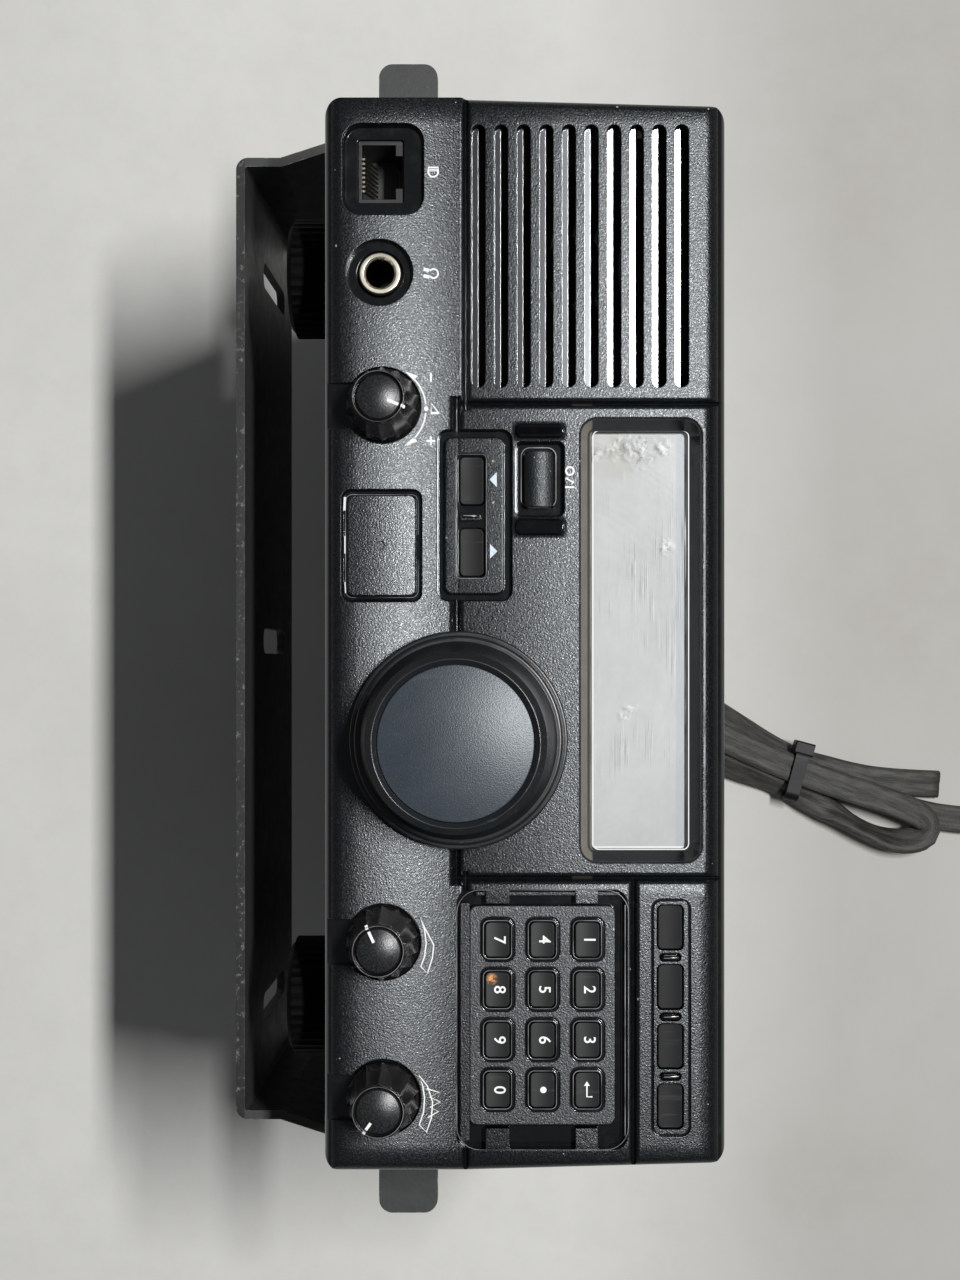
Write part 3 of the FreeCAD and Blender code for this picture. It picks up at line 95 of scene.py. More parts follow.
class Nodes:
    """A material's node tree, with short calls for the nodes used here."""

    def __init__(self, name, color, rough, **sockets):
        self.mat = bpy.data.materials.new(name)
        self.mat.use_nodes = True
        self.tree = self.mat.node_tree
        self.bsdf = self.tree.nodes["Principled BSDF"]
        self.bsdf.inputs["Base Color"].default_value = (*color, 1.0)
        self.bsdf.inputs["Roughness"].default_value = rough
        for key, value in sockets.items():
            self.bsdf.inputs[key.replace("_", " ")].default_value = value
        self.coords = self.node("TexCoord").outputs["Object"]
        self.normal = None

    def link(self, a, b):
        self.tree.links.new(a, b)

    def node(self, kind, **values):
        """A new node with values for its inputs."""
        node = self.tree.nodes.new("ShaderNode" + kind)
        for key, value in values.items():
            node.inputs[key.replace("_", " ")].default_value = value
        return node

    def spread(self, stretch, source=None):
        source = source or self.coords
        if stretch is None:
            return source
        mapping = self.node("Mapping", Scale=stretch)
        self.link(source, mapping.inputs["Vector"])
        return mapping.outputs["Vector"]

    def noise(self, scale, detail=3.0, rough=0.6, stretch=None, distortion=0.0, source=None):
        node = self.node("TexNoise", Scale=scale, Detail=detail, Roughness=rough)
        node.inputs["Distortion"].default_value = distortion
        self.link(self.spread(stretch, source), node.inputs["Vector"])
        return node.outputs["Fac"]

    def cell_borders(self, scale):
        node = self.node("TexVoronoi", Scale=scale)
        node.feature = "DISTANCE_TO_EDGE"
        self.link(self.coords, node.inputs["Vector"])
        return node.outputs["Distance"]

    def wave(self, scale, stretch, distortion):
        node = self.node("TexWave", Scale=scale, Distortion=distortion, Detail=2.0)
        self.link(self.spread(stretch), node.inputs["Vector"])
        return node.outputs["Fac"]

    def ramp(self, value, low, high, bottom=0.0, top=1.0):
        node = self.node("MapRange", From_Min=low, From_Max=high, To_Min=bottom, To_Max=top)
        self.link(value, node.inputs["Value"])
        return node.outputs["Result"]

    def feed(self, socket, value):
        """Gives an input a number, a colour or another node's output."""
        if isinstance(value, (int, float)):
            socket.default_value = value
        elif isinstance(value, tuple):
            socket.default_value = (*value, 1.0)
        else:
            self.link(value, socket)

    def math(self, kind, a, b):
        node = self.node("Math")
        node.operation = kind
        self.feed(node.inputs[0], a)
        self.feed(node.inputs[1], b)
        return node.outputs["Value"]

    def vector_math(self, kind, *sockets):
        node = self.node("VectorMath")
        node.operation = kind
        for inlet, socket in zip(node.inputs, sockets):
            self.link(socket, inlet)
        return node

    def fold(self, kind, values):
        """One operation over sockets and numbers, from the first to the last."""
        result = values[0]
        for value in values[1:]:
            result = self.math(kind, result, value)
        return result

    def times(self, *values):
        return self.fold("MULTIPLY", values)

    def total(self, *values):
        return self.fold("ADD", values)

    def most(self, *values):
        return self.fold("MAXIMUM", values)

    def axis(self, name):
        """One coordinate of the surface, in metres."""
        split = self.node("SeparateXYZ")
        self.link(self.coords, split.inputs[0])
        return split.outputs[name]

    def lean(self, name, low, high, start=0.0, end=1.0):
        """Goes from start to end between two values of a coordinate, in millimetres on the
        panel."""
        move = SHIFT if name == "Y" else 0.0
        return self.ramp(self.axis(name), (low + move) / 1000, (high + move) / 1000, start, end)

    def between(self, name, low, high, soft=0.05):
        """1 where a coordinate lies between two values, in millimetres, and 0 outside."""
        lower = self.lean(name, low - soft, low + soft)
        upper = self.lean(name, high - soft, high + soft, 1.0, 0.0)
        return self.times(lower, upper)

    def near(self, x, y, z, radius, soft=0.2):
        """1 within a radius of a place, in millimetres, and 0 further away."""
        gap = self.vector_math("DISTANCE", self.coords)
        gap.inputs[1].default_value = at(x, y, z)
        low, high = (radius - soft) / 1000, (radius + soft) / 1000
        return self.ramp(gap.outputs["Value"], low, high, 1.0, 0.0)

    def spots(self, places, z):
        """1 within spots at a height, each given by its pixel, radius and softness."""
        found = []
        for px, py, radius, soft in places:
            found.append(self.near(*on_panel(px, py, z), z, radius, radius * soft))
        return self.most(*found)

    def mix(self, factor, a, b):
        """A colour that goes from a to b; each is a colour or a socket."""
        node = self.node("Mix")
        node.data_type = "RGBA"
        self.link(factor, node.inputs["Factor"])
        self.feed(node.inputs[6], a)
        self.feed(node.inputs[7], b)
        return node.outputs[2]

    def blend(self, factor, a, b):
        """Goes from a to b with a factor; each is a number or a socket."""
        return self.total(a, self.times(factor, self.math("SUBTRACT", b, a)))

    def color(self, socket):
        self.link(socket, self.bsdf.inputs["Base Color"])

    def paint(self, factor, a, b):
        self.color(self.mix(factor, a, b))

    def color_so_far(self):
        return self.bsdf.inputs["Base Color"].links[0].from_socket

    def rough(self, socket):
        self.link(socket, self.bsdf.inputs["Roughness"])

    def bump(self, height, distance):
        node = self.node("Bump", Distance=distance / 1000.0)
        self.link(height, node.inputs["Height"])
        if self.normal is not None:
            self.link(self.normal, node.inputs["Normal"])
        self.shade_by(node.outputs["Normal"])

    def shade_by(self, normal):
        self.normal = normal
        self.link(normal, self.bsdf.inputs["Normal"])

    def rounded_normal(self, radius):
        node = self.node("Bevel", Radius=radius / 1000.0)
        node.samples = 6
        return node.outputs["Normal"]

    def rounded(self, radius):
        """Shades sharp edges as if they were rounded, by a radius in millimetres."""
        self.shade_by(self.rounded_normal(radius))

    def tilted(self, x=None, y=None, amount=1.0):
        """Leans the shading by small angles, in radians, along X and Y, for crowned faces."""
        lean = self.node("CombineXYZ")
        for socket, value in (("X", x), ("Y", y)):
            if value is not None:
                self.link(self.times(value, amount), lean.inputs[socket])
        total = self.vector_math("ADD", self.normal, lean.outputs[0])
        self.shade_by(self.vector_math("NORMALIZE", total.outputs[0]).outputs[0])

    def edges(self, radius, low=0.03, high=0.25):
        """1 along sharp edges and 0 on flat ground, for wear."""
        flat = self.node("NewGeometry").outputs["Normal"]
        dot = self.vector_math("DOT_PRODUCT", self.rounded_normal(radius), flat)
        return self.ramp(self.math("SUBTRACT", 1.0, dot.outputs["Value"]), low, high)


def toned(color, factor, more=0.0):
    return tuple(c * factor + more for c in color)


BLACK = (0.0026, 0.0031, 0.0040)
GRAIN_GREY = (0.011, 0.0125, 0.015)
SMOOTH_BLACK = (0.0045, 0.0048, 0.0055)
GRAIN_SCALE = 2600.0
SPECK_SCALE = 3300.0
COOL = (0.93, 0.97, 1.0, 1.0)
GRAIN_Z = (FACE - 0.62, FACE + 0.12)
SHELF_ROUGH = 0.10
SHELF_Z = (FACE - 3.3, FACE - 2.6)


def grained(name, z=None, rough=0.30, depth=0.105, edge=0.3, crown=None):
    """A black moulding with a fine spark-eroded grain. Where z gives two heights, only the
    surface between them is grained, and the rest is smooth."""
    m = Nodes(name, BLACK, rough, IOR=1.58, Specular_Tint=COOL)
    m.rounded(edge)
    pebble = m.noise(GRAIN_SCALE, 2.0, 0.6)
    speck = m.noise(SPECK_SCALE, 1.0, 0.5)
    high = m.ramp(pebble, 0.50, 0.68)
    patches = m.noise(30.0, 4.0, 0.65)
    wear = m.noise(240.0, 4.0, 0.7)
    body = m.mix(m.times(high, m.ramp(patches, 0.25, 0.7, 0.45, 1.0)), BLACK, GRAIN_GREY)
    chips = m.ramp(m.noise(1100.0, 0.0, 0.5), 0.86, 0.88)
    body = m.mix(m.times(chips, 0.8), body, (0.42, 0.42, 0.41))
    roughness = m.ramp(speck, 0.36, 0.64, rough - 0.07, rough + 0.13)
    height = pebble
    if z:
        flat = m.between("Z", z[0], z[1], 0.08)
        low_tone = m.mix(m.ramp(wear, 0.5, 0.9), SMOOTH_BLACK, (0.014, 0.014, 0.015))
        if crown:
            # The display's lower wall gets painted light and dust
            low_tone = display_wall(m, low_tone)
        body = m.mix(flat, low_tone, body)
        height = m.times(pebble, flat)
        shine = m.ramp(wear, 0.3, 0.8, 0.11, 0.18)
        roughness = m.blend(flat, shine, roughness)
        if crown:
            roughness = m.blend(crown(m, flat), roughness, SHELF_ROUGH)
    m.color(body)
    m.rough(roughness)
    m.bump(height, depth)
    return m


GRILLE_X = (-104.0, -57.0)
PIT_X = ((-46.2, -43.2), (-25.4, -21.9))
PIT_Y = (-2.1, 8.6)
ISLAND_X = (-43.6, -8.7)
ISLAND_LOW_Y = (-17.8, -14.4)
VALLEY_Y = -14.6

# The rims over the display, the keys and the grille: their ends along X, where the fall
# starts and ends along Y, and how far they lean
UPPER_RIMS = (
    (-51.0, 57.5, 39.1, 41.0, 0.9),
    (57.5, 118.0, 37.6, 42.6, 0.75),
    (-118.0, -51.0, 39.3, 42.6, 0.7),
)


def display_wall(m, tone):
    """The stepped wall along the lower side of the display's opening, painted light brown: dust,
    with painted light where the lamp falls on the wall. Its step is darker.
    """
    wall = m.times(
        m.between("X", -50.0, 53.0, 1.0),
        m.between("Y", 10.5, 14.9, 0.2),
        m.between("Z", FACE - 4.2, FACE - 0.6, 0.1),
    )
    step = m.between("Z", *SHELF_Z, 0.15)
    # Dust and painted light on the wall's lit face
    dust_and_painted_light = m.mix(m.noise(300.0, 3.0, 0.6), (0.10, 0.088, 0.070), (0.17, 0.155, 0.13))
    return m.mix(wall, tone, m.mix(step, dust_and_painted_light, (0.030, 0.026, 0.020)))


def panel_crown(m, flat):
    """The face is gently crowned: the lower band falls towards its valley, the blocks above
    rise from theirs, and the rims fall away. The grille's bars lean more towards the upper
    edge, and its smooth shelves lie flatter. Returns where the shelves are."""
    band = m.between("Y", -60.0, VALLEY_Y)
    above = m.between("Y", VALLEY_Y, 60.0)
    rise = m.lean("Y", VALLEY_Y, 8.0, -0.11, 0.03)
    rest = m.lean("Y", 8.0, 40.0, 0.0, 0.06)
    rims = [m.lean("Y", -43.6, -36.5, -0.26, 0.0)]
    for x0, x1, y0, y1, fall in UPPER_RIMS:
        rims.append(m.times(m.between("X", x0, x1), m.lean("Y", y0, y1, 0.0, fall)))
    bars = m.times(
        m.between("X", *GRILLE_X, 2.0),
        m.lean("Y", 4.0, 27.0, 0.0, 0.045),
        m.lean("Y", 31.0, 37.0, 1.0, 0.0),
    )
    across = m.total(
        m.times(band, m.lean("Y", -44.0, -15.0, -0.105, 0.40)),
        m.times(above, m.total(rise, rest)),
        *rims,
        bars,
    )
    left_end = m.lean("X", -117.5, -112.0, -0.35, 0.0)
    right_end = m.lean("X", 112.0, 117.0, 0.0, 0.40)
    lips = m.times(above, m.lean("X", 53.6, 57.2, -0.35, 0.0), m.between("X", 53.6, 60.0))
    m.tilted(m.total(left_end, right_end, lips, m.times(band, -0.035)), across, flat)
    shelves = m.times(m.between("Z", *SHELF_Z), m.between("X", -114.0, -50.0))
    along = m.lean("X", -113.0, -55.0, 0.139, 0.041)
    m.tilted(m.times(shelves, along), m.times(shelves, -0.033))
    pits = m.most(*[m.between("X", *pit, 0.8) for pit in PIT_X])
    m.tilted(None, m.times(pits, m.between("Y", *PIT_Y, 0.8), -0.9))
    strip = m.times(m.between("X", *ISLAND_X), m.between("Y", *ISLAND_LOW_Y, 0.12))
    m.tilted(None, m.times(strip, flat, -0.42))
    return shelves


def keypad_material():
    """The keypad plate's grain. The plate is crowned a little towards the lamp."""
    m = grained("keypad_moulding", (PLATE - 0.25, PLATE + 0.08), 0.38, 0.12)
    m.tilted(-0.04, 0.025)
    return m


def smooth_plastic(name, color, rough=0.3, edge=0.3, marks=0.5, shine=0.5):
    """A smooth moulding with finger marks and fine hairlines."""
    m = Nodes(name, color, rough, Specular_IOR_Level=shine)
    if edge:
        m.rounded(edge)
    smears = m.noise(60.0, 4.0, 0.6, distortion=0.6)
    hair = m.ramp(m.noise(900.0, 2.0, 0.5, (1.0, 0.06, 1.0)), 0.62, 0.72)
    dust = m.ramp(m.noise(1500.0, 1.0, 0.5), 0.74, 0.80)
    m.bump(m.noise(700.0, 2.0, 0.5), 0.006)
    m.rough(m.ramp(smears, 0.3, 0.8, rough - 0.05 * marks, rough + 0.18 * marks))
    m.paint(m.times(m.most(hair, dust), 0.12 * marks), color, (0.25, 0.25, 0.25))
    return m


def painted_steel(name, color, metal, rough=0.5, wear=0.6):
    """Textured paint on steel, rubbed through to the metal along its edges."""
    m = Nodes(name, color, rough)
    edge = m.edges(0.5)
    patches = m.noise(220.0, 5.0, 0.7)
    worn = m.times(edge, m.ramp(patches, 0.5, 0.62))
    scuffs = m.ramp(m.noise(90.0, 5.0, 0.75, (1.0, 1.0, 0.25)), 0.66, 0.78, 0.0, 0.35)
    amount = m.times(m.most(worn, scuffs), wear)
    m.paint(amount, m.mix(m.noise(18.0), color, toned(color, 1.35)), metal)
    m.link(m.times(worn, wear), m.bsdf.inputs["Metallic"])
    m.rough(m.ramp(patches, 0.3, 0.8, rough - 0.08, rough + 0.12))
    m.bump(m.noise(1100.0, 4.0, 0.6), 0.03)
    return m


def bracket_material():
    """The bracket's paint. The cut edge of its base plate is darker, with worn specks."""
    m = painted_steel("bracket_paint", (0.026, 0.027, 0.027), (0.42, 0.42, 0.43), 0.48, 0.75)
    edge = m.times(m.between("Y", -80.0, -69.6, 0.3), m.between("Z", 185.2, 188.0, 0.2))
    specks = m.ramp(m.noise(700.0, 3.0, 0.7), 0.58, 0.66)
    m.paint(edge, m.color_so_far(), m.mix(specks, (0.006, 0.006, 0.006), (0.10, 0.10, 0.10)))
    return m


def metal(name, color, rough=0.25, edge=0.2):
    m = Nodes(name, color, rough, Metallic=1.0)
    if edge:
        m.rounded(edge)
    m.bump(m.noise(900.0), 0.008)
    tarnish = m.noise(140.0, 4.0, 0.6)
    m.paint(m.ramp(tarnish, 0.4, 0.8), color, toned(color, 0.72))
    m.rough(m.ramp(tarnish, 0.3, 0.8, rough - 0.05, rough + 0.12))
    return m


def phones_material():
    """Cream plated ring at the top of the socket, and near black further down its bore."""
    m = metal("cream_nickel", (0.86, 0.80, 0.66), 0.3)
    top = m.between("Z", FACE - 2.3, FACE + 1.0, 0.12)
    m.paint(top, (0.012, 0.011, 0.010), m.color_so_far())
    return m


def rubber(name, color, rough=0.55, shine=0.5):
    m = Nodes(name, color, rough, Specular_IOR_Level=shine)
    m.rounded(0.3)
    bloom = m.noise(80.0, 4.0, 0.6)
    m.paint(m.ramp(bloom, 0.45, 0.8), color, toned(color, 2.5, 0.001))
    m.rough(m.ramp(bloom, 0.3, 0.8, rough - 0.1, rough + 0.15))
    m.bump(m.noise(1200.0, 3.0, 0.6), 0.015)
    return m


def blank_material():
    """The blank cover's grain, brighter towards its upper side, with white spots along its rim:
    paint rubbed through, and painted highlights where the rim catches light."""
    m = grained("blank_cover_grain", rough=0.27)
    m.tilted(None, m.lean("Y", -38.0, -23.0, -0.06, 0.21))
    # White rim spots: worn paint and painted highlight
    rim = m.times(m.edges(0.35, 0.10, 0.35), m.ramp(m.noise(330.0, 3.0, 0.7), 0.52, 0.60))
    m.paint(rim, m.color_so_far(), (0.55, 0.55, 0.53))
    return m


KNOB_Y = -31.2
CLARIFIER_X, VOLUME_X, SQUELCH_X = -50.4, 67.6, 101.8
KNOB_TOP = FACE + 13.0
CAP_LEAN = 40.0


def knob_material(name, x):
    """Glossy fluted barrel with a brown tinge, and a grained, domed cap inside its ring."""
    m = Nodes(name, (0.006, 0.0055, 0.005), 0.2)
    m.rounded(0.15)
    cap = m.near(x, KNOB_Y, KNOB_TOP - 0.2, 4.85, 0.1)
    grain = m.noise(3000.0, 2.0, 0.6)
    smears = m.noise(90.0, 4.0, 0.65)
    barrel = m.mix(m.ramp(smears, 0.45, 0.8), (0.006, 0.0055, 0.005), (0.022, 0.019, 0.015))
    top = m.mix(m.ramp(grain, 0.45, 0.7), (0.006, 0.0065, 0.0075), (0.028, 0.030, 0.033))
    m.paint(cap, barrel, top)
    m.rough(m.total(m.ramp(smears, 0.3, 0.8, 0.14, 0.22), m.times(cap, 0.15)))
    middle = at(x, KNOB_Y)
    dome_x = m.total(m.axis("X"), -middle.x)
    dome_y = m.total(m.axis("Y"), -middle.y)
    m.tilted(m.times(dome_x, CAP_LEAN), m.times(dome_y, CAP_LEAN), cap)
    m.bump(m.times(grain, m.blend(cap, 0.04, 1.0)), 0.05)
    return m


def disc_material():
    """The dial's disc: satin, finely grained, with a few rubbed marks."""
    m = Nodes("disc_satin", (0.026, 0.033, 0.041), 0.36, Specular_Tint=COOL)
    m.rounded(0.2)
    smears = m.noise(45.0, 5.0, 0.65, distortion=0.5)
    grain = m.noise(3400.0, 2.0, 0.6)
    hair = m.ramp(m.noise(700.0, 2.0, 0.5, (1.0, 0.08, 1.0)), 0.66, 0.74)
    tone = m.mix(m.ramp(smears, 0.35, 0.75), (0.022, 0.029, 0.037), (0.031, 0.039, 0.049))
    tone = m.mix(m.ramp(grain, 0.5, 0.72, 0.0, 0.5), tone, (0.050, 0.062, 0.075))
    m.paint(m.times(hair, 0.03), tone, (0.3, 0.3, 0.3))
    m.rough(m.ramp(smears, 0.3, 0.8, 0.34, 0.40))
    m.bump(grain, 0.05)
    return m


def board_material():
    m = Nodes("board_laminate", (0.03, 0.12, 0.06), 0.4)
    tracks = m.ramp(m.cell_borders(160.0), 0.03, 0.06)
    m.paint(tracks, (0.25, 0.2, 0.09), (0.02, 0.09, 0.045))
    m.bump(tracks, 0.03)
    return m


def cone_material():
    m = Nodes("speaker_cone", (0.004, 0.004, 0.004), 0.85)
    m.bump(m.noise(1400.0, 4.0, 0.7), 0.05)
    m.paint(m.noise(300.0), (0.003, 0.003, 0.003), (0.009, 0.009, 0.008))
    return m


DISPLAY_X = (-44.8, 47.4)
DISPLAY_Y = (14.9, 36.2)


def display_material():
    """The unlit liquid crystal: pale, a little greyer in patches, with a bluish strip along
    its upper edge, a thin bright outline and a brown stain at its left end."""
    m = Nodes("display_cell", (0.40, 0.41, 0.40), 0.5)
    cloud = m.noise(30.0, 4.0, 0.6)
    grain = m.noise(520.0, 3.0, 0.6)
    tone = m.mix(m.ramp(cloud, 0.3, 0.75), (0.395, 0.405, 0.395), (0.345, 0.355, 0.35))
    tone = m.mix(m.ramp(grain, 0.4, 0.7, 0.0, 0.25), tone, (0.43, 0.44, 0.43))
    strip = m.between("Y", DISPLAY_Y[1] - 2.5, DISPLAY_Y[1] + 2.0, 0.15)
    tone = m.mix(m.times(strip, m.ramp(grain, 0.2, 0.8, 0.5, 0.9)), tone, (0.30, 0.33, 0.37))
    inner = m.times(
        m.between("X", DISPLAY_X[0] + 0.35, DISPLAY_X[1] - 0.35, 0.04),
        m.between("Y", DISPLAY_Y[0] + 0.35, DISPLAY_Y[1] - 0.35, 0.04),
    )
    tone = m.mix(inner, (0.62, 0.63, 0.62), tone)
    blotches = m.ramp(m.noise(150.0, 4.0, 0.7), 0.40, 0.62)
    stain = m.times(m.near(-42.0, 19.0, 232.4, 5.0, 3.5), blotches, 0.5)
    tone = m.mix(stain, tone, (0.30, 0.24, 0.14))
    m.color(tone)
    m.rough(m.ramp(cloud, 0.3, 0.7, 0.42, 0.6))
    return m


# Stains on the window: their pixels in the photograph, radius and softness
WINDOW_Z = 234.0
WINDOW_STAINS = (
    (641, 451, 3.4, 0.55),
    (624, 447, 2.6, 0.55),
    (612, 453, 1.6, 0.55),
    (662, 447, 2.0, 0.55),
    (667, 547, 1.6, 0.6),
    (631, 707, 1.4, 0.6),
    (626, 716, 1.2, 0.6),
    (592, 452, 2.2, 0.6),
)


def window_material():
    """Clear plastic over the display, hazed, stained and scratched along its length."""
    m = Nodes("window_plastic", (0.78, 0.80, 0.79), 0.26, IOR=1.49)
    haze = m.ramp(m.noise(60.0, 5.0, 0.7, (0.5, 1.0, 1.0)), 0.42, 0.80, 0.02, 0.12)
    worn = m.ramp(m.noise(50.0, 3.0, 0.6), 0.48, 0.62)
    fine = m.ramp(m.noise(2600.0, 1.0, 0.5, (0.022, 1.0, 0.0)), 0.60, 0.70, 0.0, 0.42)
    coarse = m.ramp(m.noise(1300.0, 1.0, 0.5, (0.014, 1.0, 0.0)), 0.68, 0.74, 0.0, 0.55)
    patchy = m.ramp(m.noise(520.0, 4.0, 0.75), 0.44, 0.60, 0.0, 0.55)
    stain = m.times(m.spots(WINDOW_STAINS, WINDOW_Z), patchy)
    m.link(m.most(haze, m.times(m.most(fine, coarse), worn), stain), m.bsdf.inputs["Alpha"])
    m.rough(m.ramp(m.noise(60.0, 4.0, 0.7), 0.3, 0.75, 0.20, 0.34))
    return m


def lead_material():
    """Dull vinyl with lines along the lead and dust in them."""
    m = Nodes("lead_vinyl", (0.07, 0.069, 0.064), 0.6)
    uv = m.node("TexCoord").outputs["UV"]
    lines = m.noise(1.0, 3.0, 0.7, (26.0, 1.2, 1.0), source=uv)
    weave = m.noise(1.0, 2.0, 0.6, (60.0, 30.0, 1.0), source=uv)
    patch = m.noise(45.0, 4.0, 0.65)
    tone = m.mix(m.ramp(lines, 0.38, 0.62), (0.010, 0.0098, 0.009), (0.050, 0.049, 0.045))
    dust = m.times(m.ramp(patch, 0.42, 0.72, 0.1, 0.6), m.ramp(weave, 0.45, 0.62))
    m.paint(dust, tone, (0.11, 0.107, 0.098))
    m.bump(m.total(lines, m.times(weave, 0.8)), 0.16)
    m.rough(m.ramp(patch, 0.3, 0.75, 0.5, 0.75))
    return m


def print_material(name, color):
    """Pad-printed ink, slightly rubbed."""
    m = Nodes(name, color, 0.55)
    rub = m.ramp(m.noise(900.0, 3.0, 0.7), 0.30, 0.42, 0.72, 1.0)
    m.paint(rub, toned(color, 0.55), color)
    m.bump(m.noise(2500.0, 2.0), 0.005)
    return m


def glint_line_material():
    """A thin edge painted lighter: a painted highlight where light would catch it, brighter in
    some places than in others.
    """
    m = Nodes("painted_edge_glint", (0.10, 0.10, 0.10), 0.3)
    amount = m.ramp(m.noise(110.0, 3.0, 0.6), 0.36, 0.66)
    m.paint(amount, (0.030, 0.031, 0.033), (0.25, 0.255, 0.26))
    m.bump(m.noise(2500.0, 2.0), 0.01)
    return m


def key_material():
    """The keys' smooth caps, with one rubbed orange speck on a key."""
    m = smooth_plastic("key_satin", (0.0130, 0.0150, 0.0145), 0.48, 0.25, 0.4, shine=0.25)
    x, y = on_panel(492, 979, PLATE)
    rubbed = m.ramp(m.noise(900.0, 3.0, 0.7), 0.40, 0.55)
    speck = m.times(m.near(x, y, PLATE + 0.2, 1.0, 0.4), rubbed)
    m.paint(speck, m.color_so_far(), (0.62, 0.26, 0.08))
    return m


LEAD = lead_material()
INK = print_material("white_ink", (0.76, 0.77, 0.76))
PALE_INK = print_material("pale_blue_ink", (0.50, 0.58, 0.64))
# A painted highlight for thin edge lines
EDGE_GLINT = glint_line_material()
LEDGE_GRAIN = grained("ledge_grain", rough=0.34)
# A pale plastic for the painted highlight along the display window's rim
CLEAR_RIM_GLINT = smooth_plastic("clear_rim_glint", (0.62, 0.63, 0.62), 0.2, edge=0, marks=0.4)
GLOSS_BLACK = smooth_plastic("gloss_black", (0.004, 0.004, 0.005), 0.16, edge=0, marks=0.3)
WORN_WHITE = print_material("worn_white", (0.60, 0.60, 0.57))

FINISH = [
    (grained("panel_moulding", GRAIN_Z, crown=panel_crown), ["front_panel"]),
    (blank_material(), ["blank_cover"]),
    (keypad_material(), ["keypad_plate"]),
    (key_material(), [f"key_{i}" for i in range(10)] + ["key_enter", "key_function"]),
    (
        smooth_plastic("button_satin", (0.0125, 0.0140, 0.0130), 0.55, 0.25, 0.4, shine=0.15),
        ["up_button", "down_button"] + [f"side_button_{i}" for i in (1, 2, 3, 4)],
    ),
    (grained("power_moulding", None, 0.40, 0.14), ["power_button"]),
    (knob_material("clarifier_moulding", CLARIFIER_X), ["clarifier_knob"]),
    (knob_material("volume_moulding", VOLUME_X), ["volume_knob"]),
    (knob_material("squelch_moulding", SQUELCH_X), ["squelch_knob"]),
    (smooth_plastic("dial_satin", (0.0105, 0.0115, 0.0130), 0.27, edge=0.2), ["tuning_knob"]),
    (disc_material(), ["tuning_inlay"]),
    (
        smooth_plastic("socket_plastic", (0.010, 0.010, 0.011), 0.38, edge=0.2),
        ["mic_socket", "rear_sockets"],
    ),
    (smooth_plastic("nylon", (0.006, 0.006, 0.007), 0.25), ["bracket_screws", "power_plug"]),
    (smooth_plastic("tie_nylon", (0.004, 0.0045, 0.006), 0.45, 0.15, 0.3, 0.2), ["cable_tie"]),
    (
        painted_steel("cover_paint", (0.018, 0.018, 0.02), (0.35, 0.35, 0.36), wear=0.3),
        ["top_cover", "bottom_cover"],
    ),
    (bracket_material(), ["bracket"]),
    (
        painted_steel("anodised", (0.02, 0.02, 0.022), (0.5, 0.5, 0.52), 0.4, 0.35),
        ["left_heat_sink", "right_heat_sink"],
    ),
    (metal("casting", (0.55, 0.55, 0.56), 0.5), ["chassis", "tuning_encoder", "control_pots"]),
    (phones_material(), ["phones_socket"]),
    (metal("nickel", (0.78, 0.76, 0.70), 0.2), ["tuning_shaft", "antenna_socket"]),
    (
        metal("zinc_steel", (0.55, 0.55, 0.54), 0.32),
        ["ground_terminal", "cover_screws", "foot_screws"],
    ),
    (metal("contact_wire", (0.24, 0.22, 0.17), 0.35, edge=0), ["mic_contacts"]),
    # Painted shade: the feet's rubber is darker than plain black rubber, for the shade they sit in
    (rubber("foot_rubber", (0.0006, 0.0006, 0.0007), 0.6, 0.06), ["front_feet", "rear_feet"]),
    (rubber("gland_rubber", (0.012, 0.012, 0.012)), ["lead_glands", "bracket_spacers"]),
    (board_material(), ["control_board", "main_board", "amplifier_board"]),
    (cone_material(), ["speaker"]),
    (display_material(), ["display_module"]),
    (window_material(), ["display_window"]),
    (LEAD, ["power_lead", "lead_coil", "accessory_lead"]),
]
for finish, names in FINISH:
    for name in names:
        NODES[name].data.materials.clear()
        NODES[name].data.materials.append(finish.mat)


# Leads. Each route repeats the CAD source's points, and a normal says which way the flat
# side faces near a point.

LEAD_W = 9.6
LEAD_T = 3.7
COIL_TURNS = 4.5
COIL_INNER_R = 44.5
COIL_PITCH = 4.6
COIL_CENTRE = (-2.4, 226.0)
COIL_TAIL_R = 24.0
COIL_Z = 5.1
STEPS_PER_TURN = 16

POWER_ROUTE = [
    (-6.0, -22.0, 21.0), (-6.0, -22.0, 13.0), (-5.6, -16.5, 7.0),
    (-4.5, -5.0, 7.6), (1.0, 10.0, 10.8), (12.0, 31.0, 11.4),
    (23.0, 51.0, 11.0), (32.2, 70.5, 11.2), (41.1, 90.0, 12.0),
    (49.1, 112.0, 10.8), (55.2, 131.0, 9.8), (59.9, 141.0, 9.2),
    (66.3, 140.6, 8.6), (68.5, 131.0, 7.4), (64.9, 119.5, 6.0),
    (56.3, 106.0, 5.8), (48.3, 90.5, 6.6), (40.9, 70.4, 5.8),
    (32.6, 49.0, 5.6), (28.2, 29.0, 5.4), (28.4, 11.0, 5.2),
    (27.6, -2.6, 4.6), (18.4, -12.0, 4.0), (5.4, -12.0, 3.2),
    (-4.0, -2.6, 2.4), (-3.4, 10.6, 2.1), (6.6, 25.6, 2.1),
    (19.4, 44.0, 2.1), (31.7, 69.5, 2.2), (41.5, 94.0, 3.5),
    (51.2, 118.0, 2.2), (58.5, 138.0, 2.1), (61.0, 153.0, 2.4),
    (61.8, 176.0, 5.1), (62.8, 205.0, 5.1),
]
